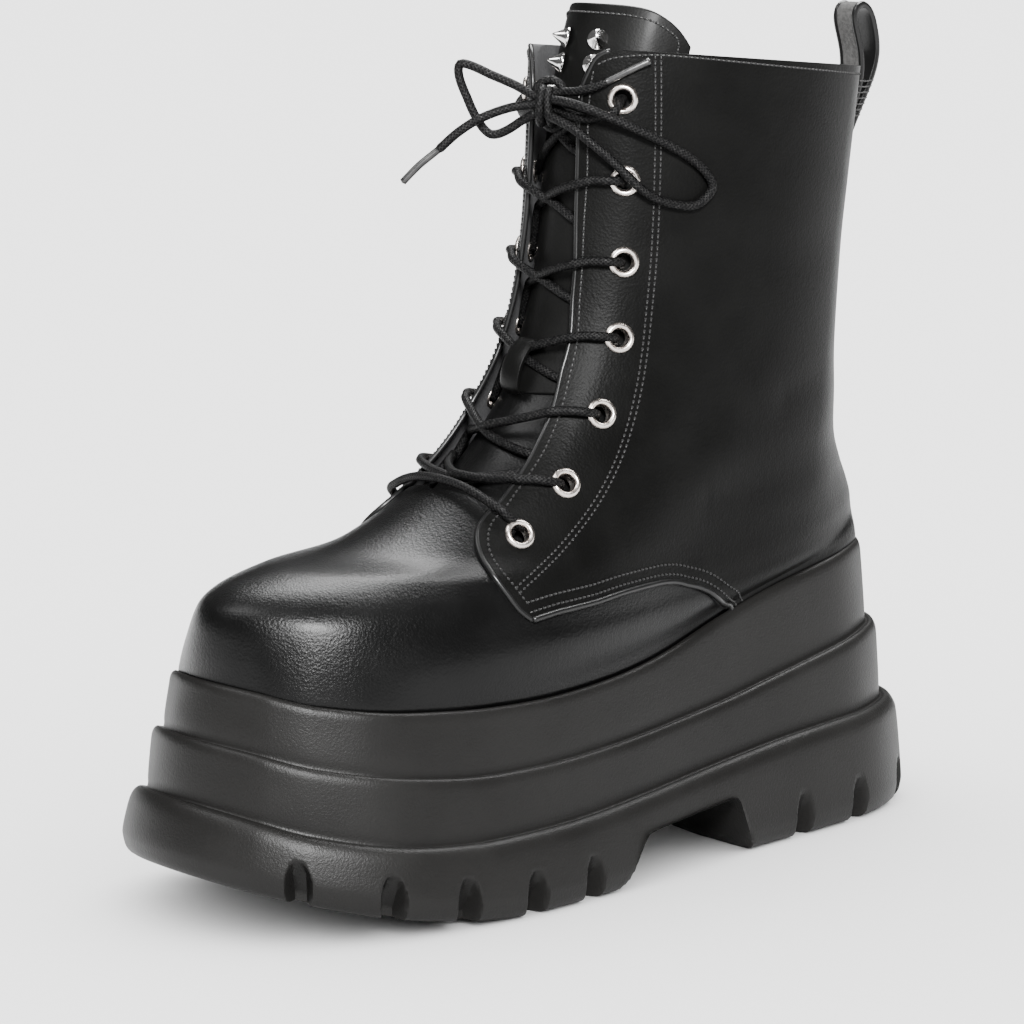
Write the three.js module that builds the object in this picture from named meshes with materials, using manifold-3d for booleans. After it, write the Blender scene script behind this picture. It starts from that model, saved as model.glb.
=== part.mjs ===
// Platform lace-up ankle boot for the left foot, size EU 38, standing on its sole.
// Millimetres, +Z up, toe toward -Y, outer (lateral) side toward +X, origin on the floor
// under the middle of the sole. Laces are tied; nothing on the boot turns or slides.

import * as THREE from 'three';
import { mergeVertices } from 'three/addons/utils/BufferGeometryUtils.js';
import Module from 'manifold-3d';

const wasm = await Module();
wasm.setup();

// ---------------------------------------------------------------- driving dimensions

const SOLE_LENGTH = 290;
const GAP = 0.35; // clearance between pieces that touch
const WALL = 2.2; // leather and lining together
const LEDGE_INSET = 18; // from the widest outline of the sole in to the upper
const RECESS = 2.3; // depth of the seat in the top of the sole
const INSOLE_THICK = 3;
const TONGUE_THICK = 3;
const TONGUE_DROP = 4; // room for the lace between facing and tongue
const LACE = 2.8; // lace diameter
const ROUND = 48; // points round the boot

// Plan of the sole at its widest: at = heel 0 to toe 1, half = half width, centre = swing of its middle line.
const PLAN = [
  { at: 0, half: 0, centre: -3.8 },
  { at: 0.02, half: 21, centre: -3.8 },
  { at: 0.05, half: 30.5, centre: -3.7 },
  { at: 0.12, half: 39.5, centre: -3.2 },
  { at: 0.2, half: 42.5, centre: -2.2 },
  { at: 0.3, half: 43.8, centre: -0.5 },
  { at: 0.4, half: 45.5, centre: 1.7 },
  { at: 0.5, half: 49, centre: 3.2 },
  { at: 0.6, half: 53.5, centre: 2.7 },
  { at: 0.68, half: 56.5, centre: 1.2 },
  { at: 0.76, half: 57.2, centre: -0.5 },
  { at: 0.85, half: 54.5, centre: -2.7 },
  { at: 0.92, half: 45.5, centre: -4.2 },
  { at: 0.96, half: 34.8, centre: -5 },
  { at: 0.985, half: 21.3, centre: -5.2 },
  { at: 1, half: 0, centre: -5.2 },
].map((row) => ({ ...row, square: row.half ** 2 }));

// Side view of the sole: heights along y of its bottom, of its two ledges and of its rim.
const SIDE = [
  { at: -145, bottom: 21, low: 42, high: 58, rim: 74 },
  { at: -132, bottom: 15.8, low: 37, high: 54.8, rim: 71.2 },
  { at: -118, bottom: 11.1, low: 31.5, high: 50.3, rim: 67.6 },
  { at: -95, bottom: 5.2, low: 26.6, high: 46, rim: 64.2 },
  { at: -72, bottom: 1.4, low: 24.5, high: 43.2, rim: 62.2 },
  { at: -57, bottom: 0, low: 24.4, high: 42.4, rim: 61.3 },
  { at: -30, bottom: 0, low: 25, high: 42.3, rim: 60.8 },
  { at: 0, bottom: 0, low: 26.9, high: 43.6, rim: 62.4 },
  { at: 22, bottom: 0, low: 28.6, high: 45.2, rim: 65.8 },
  { at: 48, bottom: 0, low: 30.8, high: 48, rim: 73 },
  { at: 78, bottom: 0, low: 33.2, high: 53, rim: 80.2 },
  { at: 115, bottom: 0, low: 34.6, high: 58.6, rim: 85.8 },
  { at: 145, bottom: 0, low: 35.4, high: 61.5, rim: 88 },
];

// Sidewall from the tread up: inset from the widest outline, and rise above one of the SIDE lines.
const SIDEWALL = [
  { inset: 5.5, line: 'bottom', rise: 0 },
  { inset: 2, line: 'bottom', rise: 1.1 },
  { inset: 0.4, line: 'bottom', rise: 4.2 },
  { inset: 0, line: 'bottom', rise: 9 },
  { inset: 3.6, line: 'low', rise: -3.2 },
  { inset: 5, line: 'low', rise: -0.6 },
  { inset: 7, line: 'low', rise: 0.5 },
  { inset: 7.2, line: 'low', rise: 2.4 },
  { inset: 9.2, line: 'high', rise: -3 },
  { inset: 10.2, line: 'high', rise: -0.6 },
  { inset: 12, line: 'high', rise: 0.5 },
  { inset: 12.2, line: 'high', rise: 2.4 },
  { inset: 14.9, line: 'rim', rise: -3 },
  { inset: 15.7, line: 'rim', rise: -0.6 },
  { inset: 16.5, line: 'rim', rise: 0 },
  { inset: LEDGE_INSET, line: 'rim', rise: 0 },
  { inset: LEDGE_INSET, line: 'rim', rise: -RECESS },
];

// Loops of the last from the feather line (0) up to the collar (9). Each loop is a tilted oval from a
// point on the back seam to a point on the front ridge, with its half widths at four places between.
const LAST = [
  { at: 0, backY: 127, backZ: 84, frontY: -127, frontZ: 69.5, dip: 17, heel: 26.5, waist: 31, ball: 41, toe: 33 },
  { at: 1, backY: 129, backZ: 93, frontY: -127, frontZ: 82, dip: 16, heel: 28, waist: 33, ball: 42.5, toe: 34 },
  { at: 2, backY: 128.8, backZ: 101, frontY: -122, frontZ: 93.5, dip: 13, heel: 29, waist: 33, ball: 41, toe: 33.5 },
  { at: 3, backY: 126, backZ: 107.5, frontY: -104, frontZ: 101, dip: 9, heel: 29, waist: 32.5, ball: 38, toe: 31 },
  { at: 4, backY: 121.6, backZ: 115, frontY: -75, frontZ: 105.5, dip: 5.5, heel: 29, waist: 32.5, ball: 35.5, toe: 28 },
  { at: 5, backY: 117.2, backZ: 125, frontY: -44, frontZ: 120.5, dip: 3, heel: 28.5, waist: 33, ball: 33.5, toe: 27.5 },
  { at: 6, backY: 115.6, backZ: 139, frontY: -23.5, frontZ: 139, dip: 1.5, heel: 28.5, waist: 33.5, ball: 32, toe: 25.5 },
  { at: 7, backY: 114.4, backZ: 157, frontY: -8.5, frontZ: 163, dip: 0, heel: 28.5, waist: 34.5, ball: 31.5, toe: 24 },
  { at: 8, backY: 116.8, backZ: 190, frontY: -0.8, frontZ: 196, dip: 0, heel: 28.5, waist: 35.5, ball: 33, toe: 24 },
  { at: 9, backY: 123.4, backZ: 241, frontY: 3, frontZ: 251.5, dip: 0, heel: 29.5, waist: 37.5, ball: 35.5, toe: 25.5 },
];
const LAST_TOP = 9;
const SEAT_LEVEL = 0.22; // up to here the upper stands in the seat of the sole
const WIDTH_PLACES = { heel: 0.18, waist: 0.42, ball: 0.68, toe: 0.88 };

// ---------------------------------------------------------------- curves and closed solids

// Smooth value of one column of a table at a place between its rows.
function along(table, column, at) {
  const last = table.length - 1;
  const place = THREE.MathUtils.clamp(at, table[0].at, table[last].at);
  let i = 0;
  while (i < last - 1 && place > table[i + 1].at) i += 1;
  const slope = (k) => {
    const before = table[Math.max(k - 1, 0)];
    const after = table[Math.min(k + 1, last)];
    return (after[column] - before[column]) / (after.at - before.at);
  };
  const span = table[i + 1].at - table[i].at;
  const u = (place - table[i].at) / span;
  const rise = table[i + 1][column] - table[i][column];
  const bend = u * (1 - u);
  const start = slope(i) * span - rise;
  const end = slope(i + 1) * span - rise;
  return table[i][column] + rise * u + bend * ((1 - u) * start - u * end);
}

// Closed solid through a stack of rings. The rings run round from the heel and back, so point j and
// point n - j face each other across the boot, and the two ends are closed by a ladder between them.
function lofted(rings) {
  const n = rings[0].length;
  const points = rings.flat();
  const index = [];
  for (let r = 0; r < rings.length - 1; r += 1) {
    for (let j = 0; j < n; j += 1) {
      const k = (j + 1) % n;
      index.push(r * n + j, r * n + k, (r + 1) * n + k);
      index.push(r * n + j, (r + 1) * n + k, (r + 1) * n + j);
    }
  }
  const cap = (base, flip) => {
    for (let j = 0; j < n / 2; j += 1) {
      const [a, b] = [base + j, base + j + 1];
      const [c, d] = [base + ((n - j - 1) % n), base + ((n - j) % n)];
      const pair = [];
      if (j > 0) pair.push([a, c, d]);
      if (j < n / 2 - 1) pair.push([a, b, c]);
      pair.forEach(([p, q, s]) => index.push(...(flip ? [p, q, s] : [p, s, q])));
    }
  };
  cap(0, false);
  cap((rings.length - 1) * n, true);
  return outward(points, index);
}

// Geometry with its faces turned outward, from points and triangles that close a volume.
function outward(points, index) {
  let volume = 0;
  for (let i = 0; i < index.length; i += 3) {
    const [a, b, c] = [points[index[i]], points[index[i + 1]], points[index[i + 2]]];
    volume += a.dot(new THREE.Vector3().crossVectors(b, c));
  }
  const geometry = new THREE.BufferGeometry().setFromPoints(points);
  geometry.setIndex(volume > 0 ? index : index.slice().reverse());
  return geometry;
}

// Thin closed solid between two surfaces given over u and v, both from 0 to 1.
function slab(front, back, across, length) {
  const points = [];
  const index = [];
  const add = (surface) => {
    for (let j = 0; j <= length; j += 1) {
      for (let i = 0; i <= across; i += 1) points.push(surface(i / across, j / length));
    }
  };
  add(front);
  add(back);
  const row = across + 1;
  const side = row * (length + 1);
  const quad = (a, b, c, d) => index.push(a, b, c, a, c, d);
  for (let j = 0; j < length; j += 1) {
    for (let i = 0; i < across; i += 1) {
      const a = j * row + i;
      quad(a, a + 1, a + row + 1, a + row);
      quad(side + a, side + a + row, side + a + row + 1, side + a + 1);
    }
    const [left, right] = [j * row, j * row + across];
    quad(left, left + row, side + left + row, side + left);
    quad(right, side + right, side + right + row, right + row);
  }
  for (let i = 0; i < across; i += 1) {
    const top = length * row + i;
    quad(i, side + i, side + i + 1, i + 1);
    quad(top, top + 1, side + top + 1, side + top);
  }
  return outward(points, index);
}

const toSolid = (geometry) => {
  const plain = geometry.clone();
  plain.deleteAttribute('normal');
  plain.deleteAttribute('uv');
  const merged = mergeVertices(plain, 1e-4);
  return new wasm.Manifold(new wasm.Mesh({
    numProp: 3,
    vertProperties: new Float32Array(merged.attributes.position.array),
    triVerts: new Uint32Array(merged.index.array),
  }));
};

const toGeometry = (solid) => {
  const mesh = solid.getMesh();
  const geometry = new THREE.BufferGeometry();
  geometry.setAttribute('position', new THREE.BufferAttribute(mesh.vertProperties, 3));
  geometry.setIndex(new THREE.BufferAttribute(mesh.triVerts, 1));
  return geometry;
};

const cut = (solid, cutters) => cutters.reduce((rest, cutter) => rest.subtract(toSolid(cutter)), solid);
const join = (geometries) => geometries.map(toSolid).reduce((sum, next) => sum.add(next));

// Round bar along a smooth path through points.
function bar(points, diameter, steps, sides = 8) {
  const shape = new THREE.Shape();
  for (let i = 0; i < sides; i += 1) {
    const turn = (i / sides) * 2 * Math.PI;
    const [x, y] = [Math.cos(turn) * diameter / 2, Math.sin(turn) * diameter / 2];
    if (i === 0) shape.moveTo(x, y);
    else shape.lineTo(x, y);
  }
  const path = new THREE.CatmullRomCurve3(points, false, 'centripetal');
  return new THREE.ExtrudeGeometry(shape, { steps, extrudePath: path, bevelEnabled: false });
}

// ---------------------------------------------------------------- outline of the sole

// Point of the sole's outline at a turn round the boot (0 heel, PI toe), moved in by an inset.
function planPoint(turn, inset) {
  const edge = (angle) => {
    const at = (1 - Math.cos(angle)) / 2;
    const side = Math.sin(angle) >= 0 ? 1 : -1;
    const half = Math.sqrt(Math.max(along(PLAN, 'square', at), 0));
    return new THREE.Vector2(along(PLAN, 'centre', at) + side * half, SOLE_LENGTH * (0.5 - at));
  };
  const step = 0.03;
  const tangent = edge(turn + step).sub(edge(turn - step)).normalize();
  return edge(turn).add(new THREE.Vector2(tangent.y, -tangent.x).multiplyScalar(inset));
}

const turns = (count) => Array.from({ length: count }, (_, j) => (2 * Math.PI * j) / count);

// Height of one of the sole's lines, which never dips under the floor.
const lineAt = (line, y) => Math.max(along(SIDE, line, y), 0);

function soleRing(count, inset, line, rise) {
  return turns(count).map((turn) => {
    const p = planPoint(turn, inset);
    return new THREE.Vector3(p.x, p.y, lineAt(line, p.y) + rise);
  });
}

// ---------------------------------------------------------------- shape of the last

const lerp = THREE.MathUtils.lerp;

// Half width of a loop of the last at a fraction of the way from its back to its front.
function loopHalfWidth(level, fraction) {
  const places = Object.entries(WIDTH_PLACES);
  const rows = places.map(([name, at]) => ({ at, square: along(LAST, name, level) ** 2 }));
  const ends = [{ at: 0, square: 0 }, ...rows, { at: 1, square: 0 }];
  return Math.sqrt(Math.max(along(ends, 'square', fraction), 0));
}

// Point of the upper's outer face: turn runs round the boot, level runs from feather line to collar.
function lastPoint(turn, level) {
  if (level > LAST_TOP) {
    const step = 0.1;
    const top = lastPoint(turn, LAST_TOP);
    return top.clone().sub(lastPoint(turn, LAST_TOP - step)).multiplyScalar((level - LAST_TOP) / step).add(top);
  }
  const fraction = (1 - Math.cos(turn)) / 2;
  const side = Math.sin(turn) >= 0 ? 1 : -1;
  const y = lerp(along(LAST, 'backY', level), along(LAST, 'frontY', level), fraction);
  const straight = lerp(along(LAST, 'backZ', level), along(LAST, 'frontZ', level), fraction);
  const z = straight - along(LAST, 'dip', level) * Math.sin(Math.PI * fraction);
  const soleCentre = along(PLAN, 'centre', 0.5 - y / SOLE_LENGTH);
  const centre = lerp(-1.5, soleCentre, Math.max(0, 1 - level / 6));
  const oval = new THREE.Vector3(centre + side * loopHalfWidth(level, fraction), y, z);
  // At the feather line the loop gives way to the outline of the seat in the sole.
  const seat = planPoint(turn, LEDGE_INSET + GAP);
  const seatZ = lineAt('rim', seat.y) - RECESS + GAP + 11 * level;
  const hold = 1 - THREE.MathUtils.smoothstep(level, SEAT_LEVEL, 1.7);
  return oval.lerp(new THREE.Vector3(seat.x, seat.y, seatZ), hold);
}

function lastNormal(turn, level) {
  const step = 0.02;
  const base = Math.min(Math.max(level, step), LAST_TOP - step);
  const round = lastPoint(turn + step, base).sub(lastPoint(turn - step, base));
  const up = lastPoint(turn, base + step).sub(lastPoint(turn, base - step));
  return up.cross(round).normalize();
}

// The outer face moved inward by a depth, or outward by a negative one.
const skin = (turn, level, depth) => lastPoint(turn, level).addScaledVector(lastNormal(turn, level), -depth);

// Turn and level of the place on the outer face nearest to a point.
function nearest(x, y, z) {
  const target = new THREE.Vector3(x, y, z);
  let best = { turn: Math.PI, level: 5, far: Infinity };
  let [turnStep, levelStep] = [0.35, 1.6];
  for (let round = 0; round < 12; round += 1) {
    const { turn, level } = best;
    for (let i = -3; i <= 3; i += 1) {
      for (let j = -3; j <= 3; j += 1) {
        const spot = { turn: turn + i * turnStep, level: Math.min(Math.max(level + j * levelStep, 0), LAST_TOP) };
        spot.far = lastPoint(spot.turn, spot.level).distanceTo(target);
        if (spot.far < best.far) best = spot;
      }
    }
    turnStep *= 0.5;
    levelStep *= 0.5;
  }
  return best;
}

// Point over the front of the upper: x from the middle of the throat, a level, and a height above the face.
function overFront(x, level, height) {
  const middle = lastPoint(Math.PI, level).x;
  let [low, high] = [Math.PI / 2, 1.5 * Math.PI];
  for (let round = 0; round < 24; round += 1) {
    const turn = (low + high) / 2;
    if (lastPoint(turn, level).x - middle > x) low = turn;
    else high = turn;
  }
  return skin(low, level, -height);
}

// ---------------------------------------------------------------- pieces

const boot = new THREE.Group();
boot.name = 'platform_boot';

const FINISH = {
  leather: { color: 0x17171a, roughness: 0.42, metalness: 0 },
  rubber: { color: 0x2b2a29, roughness: 0.72, metalness: 0 },
  lining: { color: 0x232325, roughness: 0.9, metalness: 0 },
  nickel: { color: 0xcfc8c0, roughness: 0.22, metalness: 1 },
  chrome: { color: 0xdedede, roughness: 0.12, metalness: 1 },
  lace: { color: 0x1b1b1d, roughness: 0.7, metalness: 0 },
  webbing: { color: 0x3a3a3c, roughness: 0.85, metalness: 0 },
};

function place(name, geometry, finish) {
  const mesh = new THREE.Mesh(geometry, new THREE.MeshStandardMaterial(FINISH[finish]));
  mesh.name = name;
  boot.add(mesh);
  return mesh;
}

// ---- unit sole

const NOTCH = { width: 8, reach: 16, top: 15, outside: 5 };
const TREAD_GROOVE = 2.6;
const NOTCH_PLACES = [-126, -101.5, -77, -52, -28, 73, 101, 130];
// Arch opening in side view, from the back of the forefoot pad over to the heel breast.
const ARCH = [[-17, -4], [-17, 0], [-12, 4], [-8.5, 10], [-5.5, 15.3], [0, 16.8], [39.5, 19.4], [48.5, 0], [48.5, -4]];

// Turn at which the sole's edge reaches a place along y.
const turnAt = (y) => Math.acos(2 * y / SOLE_LENGTH);

// One side notch, cut in and down from the sidewall on the outer (+1) or inner (-1) side.
function notchCutter(y, side) {
  const turn = side * turnAt(y);
  const edge = planPoint(turn, 0);
  const inner = planPoint(turn, 1);
  const floor = lineAt('bottom', y);
  const { width, reach, top, outside } = NOTCH;
  const shape = new THREE.Shape([
    new THREE.Vector2(-outside, -6),
    new THREE.Vector2(reach, -6),
    new THREE.Vector2(reach, TREAD_GROOVE),
    new THREE.Vector2(1.5, top - 2),
    new THREE.Vector2(-outside, top + 1),
  ]);
  const wedge = new THREE.ExtrudeGeometry(shape, { depth: width, bevelEnabled: false });
  wedge.translate(0, 0, -width / 2);
  wedge.rotateX(Math.PI / 2);
  wedge.rotateZ(Math.atan2(inner.y - edge.y, inner.x - edge.x));
  return wedge.translate(edge.x, edge.y, floor);
}

// Shallow tread groove across the sole between the two notches of a place.
function grooveCutter(y) {
  const [outer, inner] = [planPoint(turnAt(y), NOTCH.reach - 2), planPoint(-turnAt(y), NOTCH.reach - 2)];
  const length = outer.x - inner.x;
  const groove = new THREE.BoxGeometry(length, NOTCH.width, 2 * TREAD_GROOVE);
  return groove.translate((outer.x + inner.x) / 2, outer.y, lineAt('bottom', outer.y));
}

function unitSole() {
  const body = lofted(SIDEWALL.map((row) => soleRing(ROUND, row.inset, row.line, row.rise)));
  const arch = new THREE.ExtrudeGeometry(new THREE.Shape(ARCH.map(([y, z]) => new THREE.Vector2(y, z))), {
    depth: 160,
    bevelEnabled: false,
  });
  arch.translate(0, 0, -80);
  arch.rotateX(Math.PI / 2);
  arch.rotateZ(Math.PI / 2);
  const notches = NOTCH_PLACES.flatMap((y) => [notchCutter(y, 1), notchCutter(y, -1)]);
  const grooves = NOTCH_PLACES.slice(1, -1).map(grooveCutter);
  return toGeometry(cut(toSolid(body), [arch, ...notches, ...grooves]));
}
place('unit_sole', unitSole(), 'rubber');

// ---- insole, lying on the seat of the sole inside the upper

function insole() {
  const inset = LEDGE_INSET + GAP + WALL + GAP;
  const floor = -RECESS + GAP;
  return lofted([
    soleRing(ROUND, inset + 0.4, 'rim', floor),
    soleRing(ROUND, inset + 0.4, 'rim', floor + INSOLE_THICK),
  ]);
}
place('insole', insole(), 'lining');

// ---- upper: outer form less inner form, opened along the throat

const UPPER_LEVELS = [0, SEAT_LEVEL, 0.7, 1.3, 2, 2.8, 3.6, 4.4, 5.2, 6, 7, 8, 9];
// Half width of the throat at levels of the front ridge, opening into the rounded top corners.
const THROAT = [
  { at: 5.4, half: 21.1 },
  { at: 5.8, half: 19.5 },
  { at: 6.2, half: 18.5 },
  { at: 6.7, half: 16.4 },
  { at: 7, half: 15.5 },
  { at: 7.4, half: 13.9 },
  { at: 8, half: 11.9 },
  { at: 8.76, half: 11.7 },
  { at: 8.83, half: 12.3 },
  { at: 8.9, half: 13.9 },
  { at: 8.95, half: 16.5 },
  { at: 9, half: 21.5 },
  { at: 9.06, half: 27 },
];
const THROAT_END = { y: -43.5, z: 120, half: 22.5 };

const lastRing = (count, level, depth) => turns(count).map((turn) => skin(turn, level, depth));

function throatCutter() {
  const [outside, inside] = [14, 30];
  const first = nearest(-1, THROAT_END.y, THROAT_END.z);
  const box = (middle, normal, half) => [
    [half, outside], [-half, outside], [-half, -inside], [half, -inside],
  ].map(([x, lift]) => middle.clone().addScaledVector(normal, lift).add(new THREE.Vector3(x, 0, 0)));
  const rings = [box(lastPoint(Math.PI, first.level), new THREE.Vector3(0, 0, 1), THROAT_END.half)];
  THROAT.forEach((row) => {
    rings.push(box(lastPoint(Math.PI, row.at), lastNormal(Math.PI, row.at), row.half));
  });
  return lofted(rings);
}

// Eyelets of the outer side from the top down; the inner side mirrors them.
const EYELETS = [
  { x: 20.2, y: 12.5, z: 235.9 },
  { x: 21.3, y: 12.5, z: 211.2 },
  { x: 22.2, y: 11.4, z: 186.6 },
  { x: 23.6, y: 8.3, z: 163.8 },
  { x: 25.6, y: -0.6, z: 141.5 },
  { x: 28.1, y: -17.1, z: 122.1 },
  { x: 29.4, y: -36.3, z: 108.9 },
];
const EYELET = { bore: 2.8, barrel: 3.4, hole: 4, flange: 4.7, lift: 0.9, rise: 1, sides: 8 };

const spots = EYELETS.map(({ x, y, z }) => {
  const { turn, level } = nearest(x, y, z);
  return { turn, level };
});
const mirrored = ({ turn, level }) => ({ turn: 2 * Math.PI - turn, level });

// Shape turned about +Y, moved to a spot of the outer face with its axis along the normal there.
function standOn(geometry, { turn, level }) {
  const toward = new THREE.Quaternion().setFromUnitVectors(new THREE.Vector3(0, 1, 0), lastNormal(turn, level));
  return geometry.applyQuaternion(toward).translate(...lastPoint(turn, level).toArray());
}

function eyeletHole(spot) {
  return standOn(new THREE.CylinderGeometry(EYELET.hole, EYELET.hole, 6 * WALL, EYELET.sides), spot);
}

function upper() {
  const outer = lofted(UPPER_LEVELS.map((level) => lastRing(ROUND, level, 0)));
  const walls = UPPER_LEVELS.map((level) => lastRing(ROUND, level, WALL));
  const below = walls[0].map((p) => p.clone().add(new THREE.Vector3(0, 0, -5)));
  const above = walls[walls.length - 1].map((p) => p.clone().add(new THREE.Vector3(0, 0, 5)));
  const inner = lofted([below, ...walls, above]);
  const holes = spots.flatMap((spot) => [eyeletHole(spot), eyeletHole(mirrored(spot))]);
  return cut(toSolid(outer), [inner, throatCutter(), ...holes]);
}

place('upper', toGeometry(upper()), 'leather');

// ---- eyelets, set through the wall along both facings

function eyelet(spot) {
  const { bore, barrel, flange, lift, rise, sides } = EYELET;
  const inside = -WALL - 0.6;
  const profile = [
    [bore, inside], [barrel, inside], [barrel, lift], [flange, lift], [flange - 0.5, lift + 0.7 * rise],
    [bore + 0.8, lift + rise], [bore, lift + 0.6 * rise], [bore, inside],
  ];
  const ring = new THREE.LatheGeometry(profile.map(([r, h]) => new THREE.Vector2(r, h)), sides);
  return toGeometry(toSolid(standOn(ring, spot)));
}
spots.forEach((spot, i) => {
  place(`eyelet_lateral_${i + 1}`, eyelet(spot), 'nickel');
  place(`eyelet_medial_${i + 1}`, eyelet(mirrored(spot)), 'nickel');
});

// ---- tongue, under the facings and leaning back at its top

const TONGUE = { spread: 0.95, bottom: 4.3, top: 9.19, round: 0.2, leanFrom: 200, lean: 0.0022 };

function tonguePoint(u, v, depth) {
  const turn = Math.PI + (u - 0.5) * 2 * TONGUE.spread;
  const top = TONGUE.top - TONGUE.round * Math.abs(2 * u - 1) ** 5;
  const p = skin(turn, lerp(TONGUE.bottom, top, v), depth);
  return p.add(new THREE.Vector3(0, TONGUE.lean * Math.max(0, p.z - TONGUE.leanFrom) ** 2, 0));
}

const TONGUE_FACE = WALL + TONGUE_DROP;
const tongueFront = (u, v) => tonguePoint(u, v, TONGUE_FACE);
place('tongue', slab(tongueFront, (u, v) => tonguePoint(u, v, TONGUE_FACE + TONGUE_THICK), 8, 12), 'leather');

// ---- cone studs in two columns down the top of the tongue

const STUD = { radius: 3.5, lip: 0.8, height: 6.5, sides: 8 };
const STUD_ROWS = [{ z: 253 }, { z: 245.5 }, { z: 237 }];
const STUD_HALF_SPACING = 7;

// Place of the tongue's front face at a distance x from its middle and a height z.
function onTongue(x, z) {
  let best = { far: Infinity };
  for (let i = 0; i <= 80; i += 1) {
    for (let j = 60; j <= 200; j += 1) {
      const [u, v] = [0.3 + 0.4 * (i / 80), j / 200];
      const p = tongueFront(u, v);
      const far = Math.hypot(p.x - lastPoint(Math.PI, LAST_TOP).x - x, p.z - z);
      if (far < best.far) best = { u, v, far };
    }
  }
  const { u, v } = best;
  const step = 0.01;
  const across = tongueFront(u + step, v).sub(tongueFront(u - step, v));
  const up = tongueFront(u, v + step / 2).sub(tongueFront(u, v - step / 2));
  return { point: tongueFront(u, v), normal: up.cross(across).normalize() };
}

function stud(x, z) {
  const { radius, lip, height, sides } = STUD;
  const profile = [[0, 0], [radius, 0], [radius, lip], [0, height]];
  const cone = new THREE.LatheGeometry(profile.map(([r, h]) => new THREE.Vector2(r, h)), sides);
  const { point, normal } = onTongue(x, z);
  const toward = new THREE.Quaternion().setFromUnitVectors(new THREE.Vector3(0, 1, 0), normal);
  cone.applyQuaternion(toward).translate(...point.addScaledVector(normal, 2 * GAP).toArray());
  return toGeometry(toSolid(cone));
}
STUD_ROWS.forEach((row, i) => {
  place(`stud_lateral_${i + 1}`, stud(STUD_HALF_SPACING, row.z), 'chrome');
  place(`stud_medial_${i + 1}`, stud(-STUD_HALF_SPACING, row.z), 'chrome');
});

// ---- laced rows: two crossing strands to a row, and one bar over the bottom pair of eyelets

const LIFT = 2; // height of a strand's middle over the facing
const DEEP = WALL + GAP + LACE / 2; // its depth under the facing
// Share of the way down to the next eyelet where a strand from the outer or inner side meets the other facing.
const ARRIVE = { outer: 0.3, inner: 0.45 };
const LOWEST_ARRIVAL = 5.4;
const STRAND_STEPS = 6;

const throatHalf = (level) => along(THROAT, 'half', level);
const eyeletX = ({ turn, level }) => lastPoint(turn, level).x - lastPoint(Math.PI, level).x;

// One strand, from beside an eyelet on its side (+1 outer), over the facing and down across the tongue.
function strand(row, side, sink) {
  const [from, to] = [spots[row].level, spots[row + 1].level];
  const arrive = Math.max(lerp(from, to, side > 0 ? ARRIVE.outer : ARRIVE.inner), LOWEST_ARRIVAL);
  const start = eyeletX(spots[row]) - EYELET.flange - 1.2;
  const end = 3 - throatHalf(arrive);
  const stations = [
    { x: start, height: LIFT },
    { x: throatHalf(from) + 0.2, height: LIFT + 0.6 },
    { x: throatHalf(from) - 4.6, height: 0.3 },
    { x: 0, height: -sink },
    { x: end, height: -DEEP },
  ];
  const points = stations.map(({ x, height }) => {
    const level = lerp(from, arrive, (start - x) / (start - end));
    return overFront(side * x, level, height);
  });
  return bar(points, LACE, STRAND_STEPS);
}
for (let row = 1; row < spots.length - 1; row += 1) {
  const strands = [strand(row, 1, 2), strand(row, -1, DEEP)];
  place(`lace_row_${row + 1}`, toGeometry(join(strands)), 'lace');
}

// The top row is one strand that runs from under one facing to under the other.
const TOP_STRAND = { medial: 8.55, lateral: 8.33 };

function topStrand() {
  const { medial, lateral } = TOP_STRAND;
  const reach = throatHalf(medial) - 3;
  const points = [-1, -0.4, 0.4, 1].map((share) => {
    return overFront(share * reach, lerp(medial, lateral, (share + 1) / 2), -DEEP);
  });
  return bar(points, LACE, 6);
}
place('lace_row_1', toGeometry(toSolid(topStrand())), 'lace');

function laceBar() {
  const { level } = spots[spots.length - 1];
  const start = eyeletX(spots[spots.length - 1]) - EYELET.flange - 1.2;
  const stations = [-1, -0.72, -0.36, 0, 0.36, 0.72, 1];
  const rise = { side: 0.3, middle: 0.45 };
  const points = stations.map((share) => {
    return overFront(share * start, level + rise.side + rise.middle * (1 - share ** 2), LIFT + 0.4);
  });
  return bar(points, LACE, 12);
}
place('lace_bar', toGeometry(toSolid(laceBar())), 'lace');

// ---- lace keeper, a strap over the crossing of the fourth row

const KEEPER = { half: 5, bottom: 6.4, top: 7.1, thick: 1.6, foot: 0.5, crest: 1.5 };

function keeperPoint(u, v, over) {
  const level = lerp(KEEPER.bottom, KEEPER.top, v);
  const arch = Math.sin(Math.PI * v) ** 0.4;
  const height = lerp(-TONGUE_FACE + KEEPER.foot, KEEPER.crest, arch);
  return overFront(lerp(-KEEPER.half, KEEPER.half, u), level, height + over);
}
place('lace_keeper', slab((u, v) => keeperPoint(u, v, KEEPER.thick), (u, v) => keeperPoint(u, v, 0), 2, 10), 'leather');

// ---- bow: knot, two loops and two ends, tied over the top of the throat

const vectors = (rows) => rows.map(([x, y, z]) => new THREE.Vector3(x, y, z));
const KNOT = { centre: [0.4, -0.6, 234], halfWidth: 3, halfHeight: 6 };

function knot() {
  const ball = new THREE.SphereGeometry(1, 8, 6);
  ball.rotateX(Math.PI / 2).scale(KNOT.halfWidth, KNOT.halfWidth, KNOT.halfHeight);
  return toGeometry(toSolid(ball.translate(...KNOT.centre)));
}
place('lace_knot', knot(), 'lace');

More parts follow.
